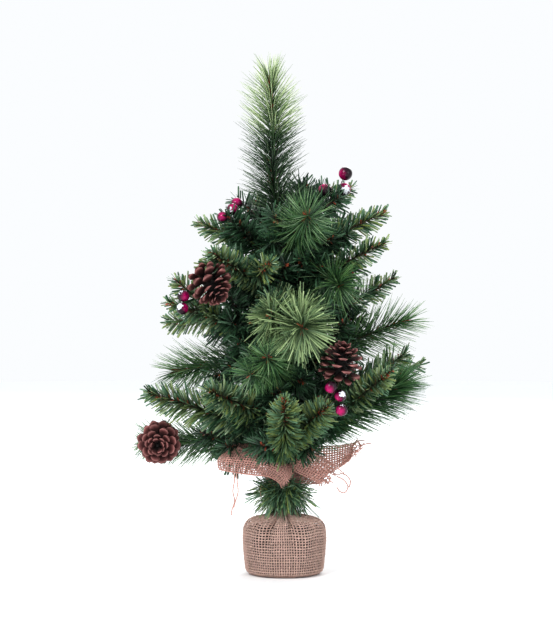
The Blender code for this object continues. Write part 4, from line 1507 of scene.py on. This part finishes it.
def makeWrap():
    # the strip's loose turn round the trunk under the knot, wider at its top
    grid = []
    for i in range(wrap["rows"]):
        share = i / (wrap["rows"] - 1)
        height = wrap["low"] + wrap["height"] * share
        ring = []
        for k in range(wrap["around"]):
            turn = math.tau * k / wrap["around"]
            wave = math.sin(turn * 4 + 0.6) * 0.0028 * share + math.sin(turn * 7) * 0.0012 * share
            lopsided = 1 + 0.30 * share * math.cos(turn - math.pi)
            radius = (wrap["radius"] + wrap["flare"] * share ** 1.4) * lopsided + wave
            ring.append(Vector((radius * math.cos(turn), radius * math.sin(turn) * 0.8 - 0.002, height)))
        grid.append(ring)
    return grid


def makeBow():
    cloths = []
    for number, (name, sections) in enumerate(bowStrips.items()):
        grid, width, length = clothGrid(sections)
        frayed = name in ("front_tail", "back_tail", "inner_fold")
        cloth = weave(grid, False, "bow_" + name, "bow_burlap", 20 + number, dye=bow["dye"][number],
                      frayRows=bow["frayRows"] if frayed else 1, frayLength=bow["frayLength"])
        cloths.append((cloth, (width, length)))
    cloths.append((weave(makeWrap(), True, "bow_wrap", "bow_burlap", 30, dye=wrap["dye"]), wrap["flat"]))
    lines = [smoothCourse([Vector(p) / 1000 for p in line]) for line in looseThreads]
    threads = twist(lines, bow["threadRadius"], "bow_threads", bow["threadPitch"], bow["threadStep"],
                    "bow_burlap")
    tones = threads.data.attributes.new("tone", "FLOAT", "POINT")
    tones.data.foreach_set("value", [bow["threadTone"]] * len(threads.data.vertices))
    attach(threads, "base")
    for number, (cloth, size) in enumerate(cloths):
        layPalette(cloth)
        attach(cloth, "base")
        print("strip", cloth.name, [round(v * 1000) for v in size], "mm")
    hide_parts("burlap_bow")


makeBow()


# garland and trunk fringe

fringe = {
    "garland": {"Spacing": 0.00013, "Length": 0.0270, "Width": 0.0014, "Lean": 78.0, "Pitch": 0.0035,
                "Spread": 3.1, "Taper": 0.0, "Forward": 0.0, "Sway": 0.46, "Brown Share": 0.0,
                "Tone To": 0.70},
    # trunk: needles on the trunk keep to dark tones, painted shade inside the tree
    "trunk": {"Spacing": 0.00012, "Length": 0.046, "Width": 0.0017, "Lean": 66.0, "Pitch": 0.0040,
              "Spread": 3.1, "Taper": 0.30, "Forward": 0.2, "Sway": 0.16, "Brown Share": 0.02,
              "Tone To": 0.30},
}
garlandTurns = {"count": 4, "radius": 0.0130, "narrowing": 0.0016, "corners": 24}
fringeLift = 0.010           # the trunk's own needles start this far above the tape's lower end


def garlandRing(number, low, high):
    # one open turn round the trunk; every second one is wound the other way
    corners = garlandTurns["corners"]
    height = low.z + (high.z - low.z) * (number + 0.6) / 4.2
    reach = garlandTurns["radius"] - garlandTurns["narrowing"] * number
    turn = math.tau * (24 if number % 2 else -24) / 25 / corners
    return [Vector((reach * math.cos(turn * k), reach * math.sin(turn * k), height))
            for k in range(corners + 1)]


def makeFringe():
    low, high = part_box("trunk_garland")
    rings = [garlandRing(number, low, high) for number in range(garlandTurns["count"])]
    garland = brush(rings, "short", 71, "trunk_garland_strips", fringe["garland"])
    layPalette(garland)
    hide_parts("trunk_garland")
    low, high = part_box("trunk_tape")
    axis = [Vector((0, 0, low.z + fringeLift + (high.z - low.z - fringeLift) * t / 20)) for t in range(21)]
    trunk = brush([axis], "short", 72, "trunk_strips", fringe["trunk"])
    layPalette(trunk)
    for piece in (garland, trunk):
        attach(piece, "base")


makeFringe()
print("garland and fringe ready")


# finish

for name, node in frame["nodes"].items():
    if not node.hide_render:
        node.data.materials.clear()
        node.data.materials.append(finishes[slotOf[name]])
removeAll([strip, bristle, flatStrip, coneScale])
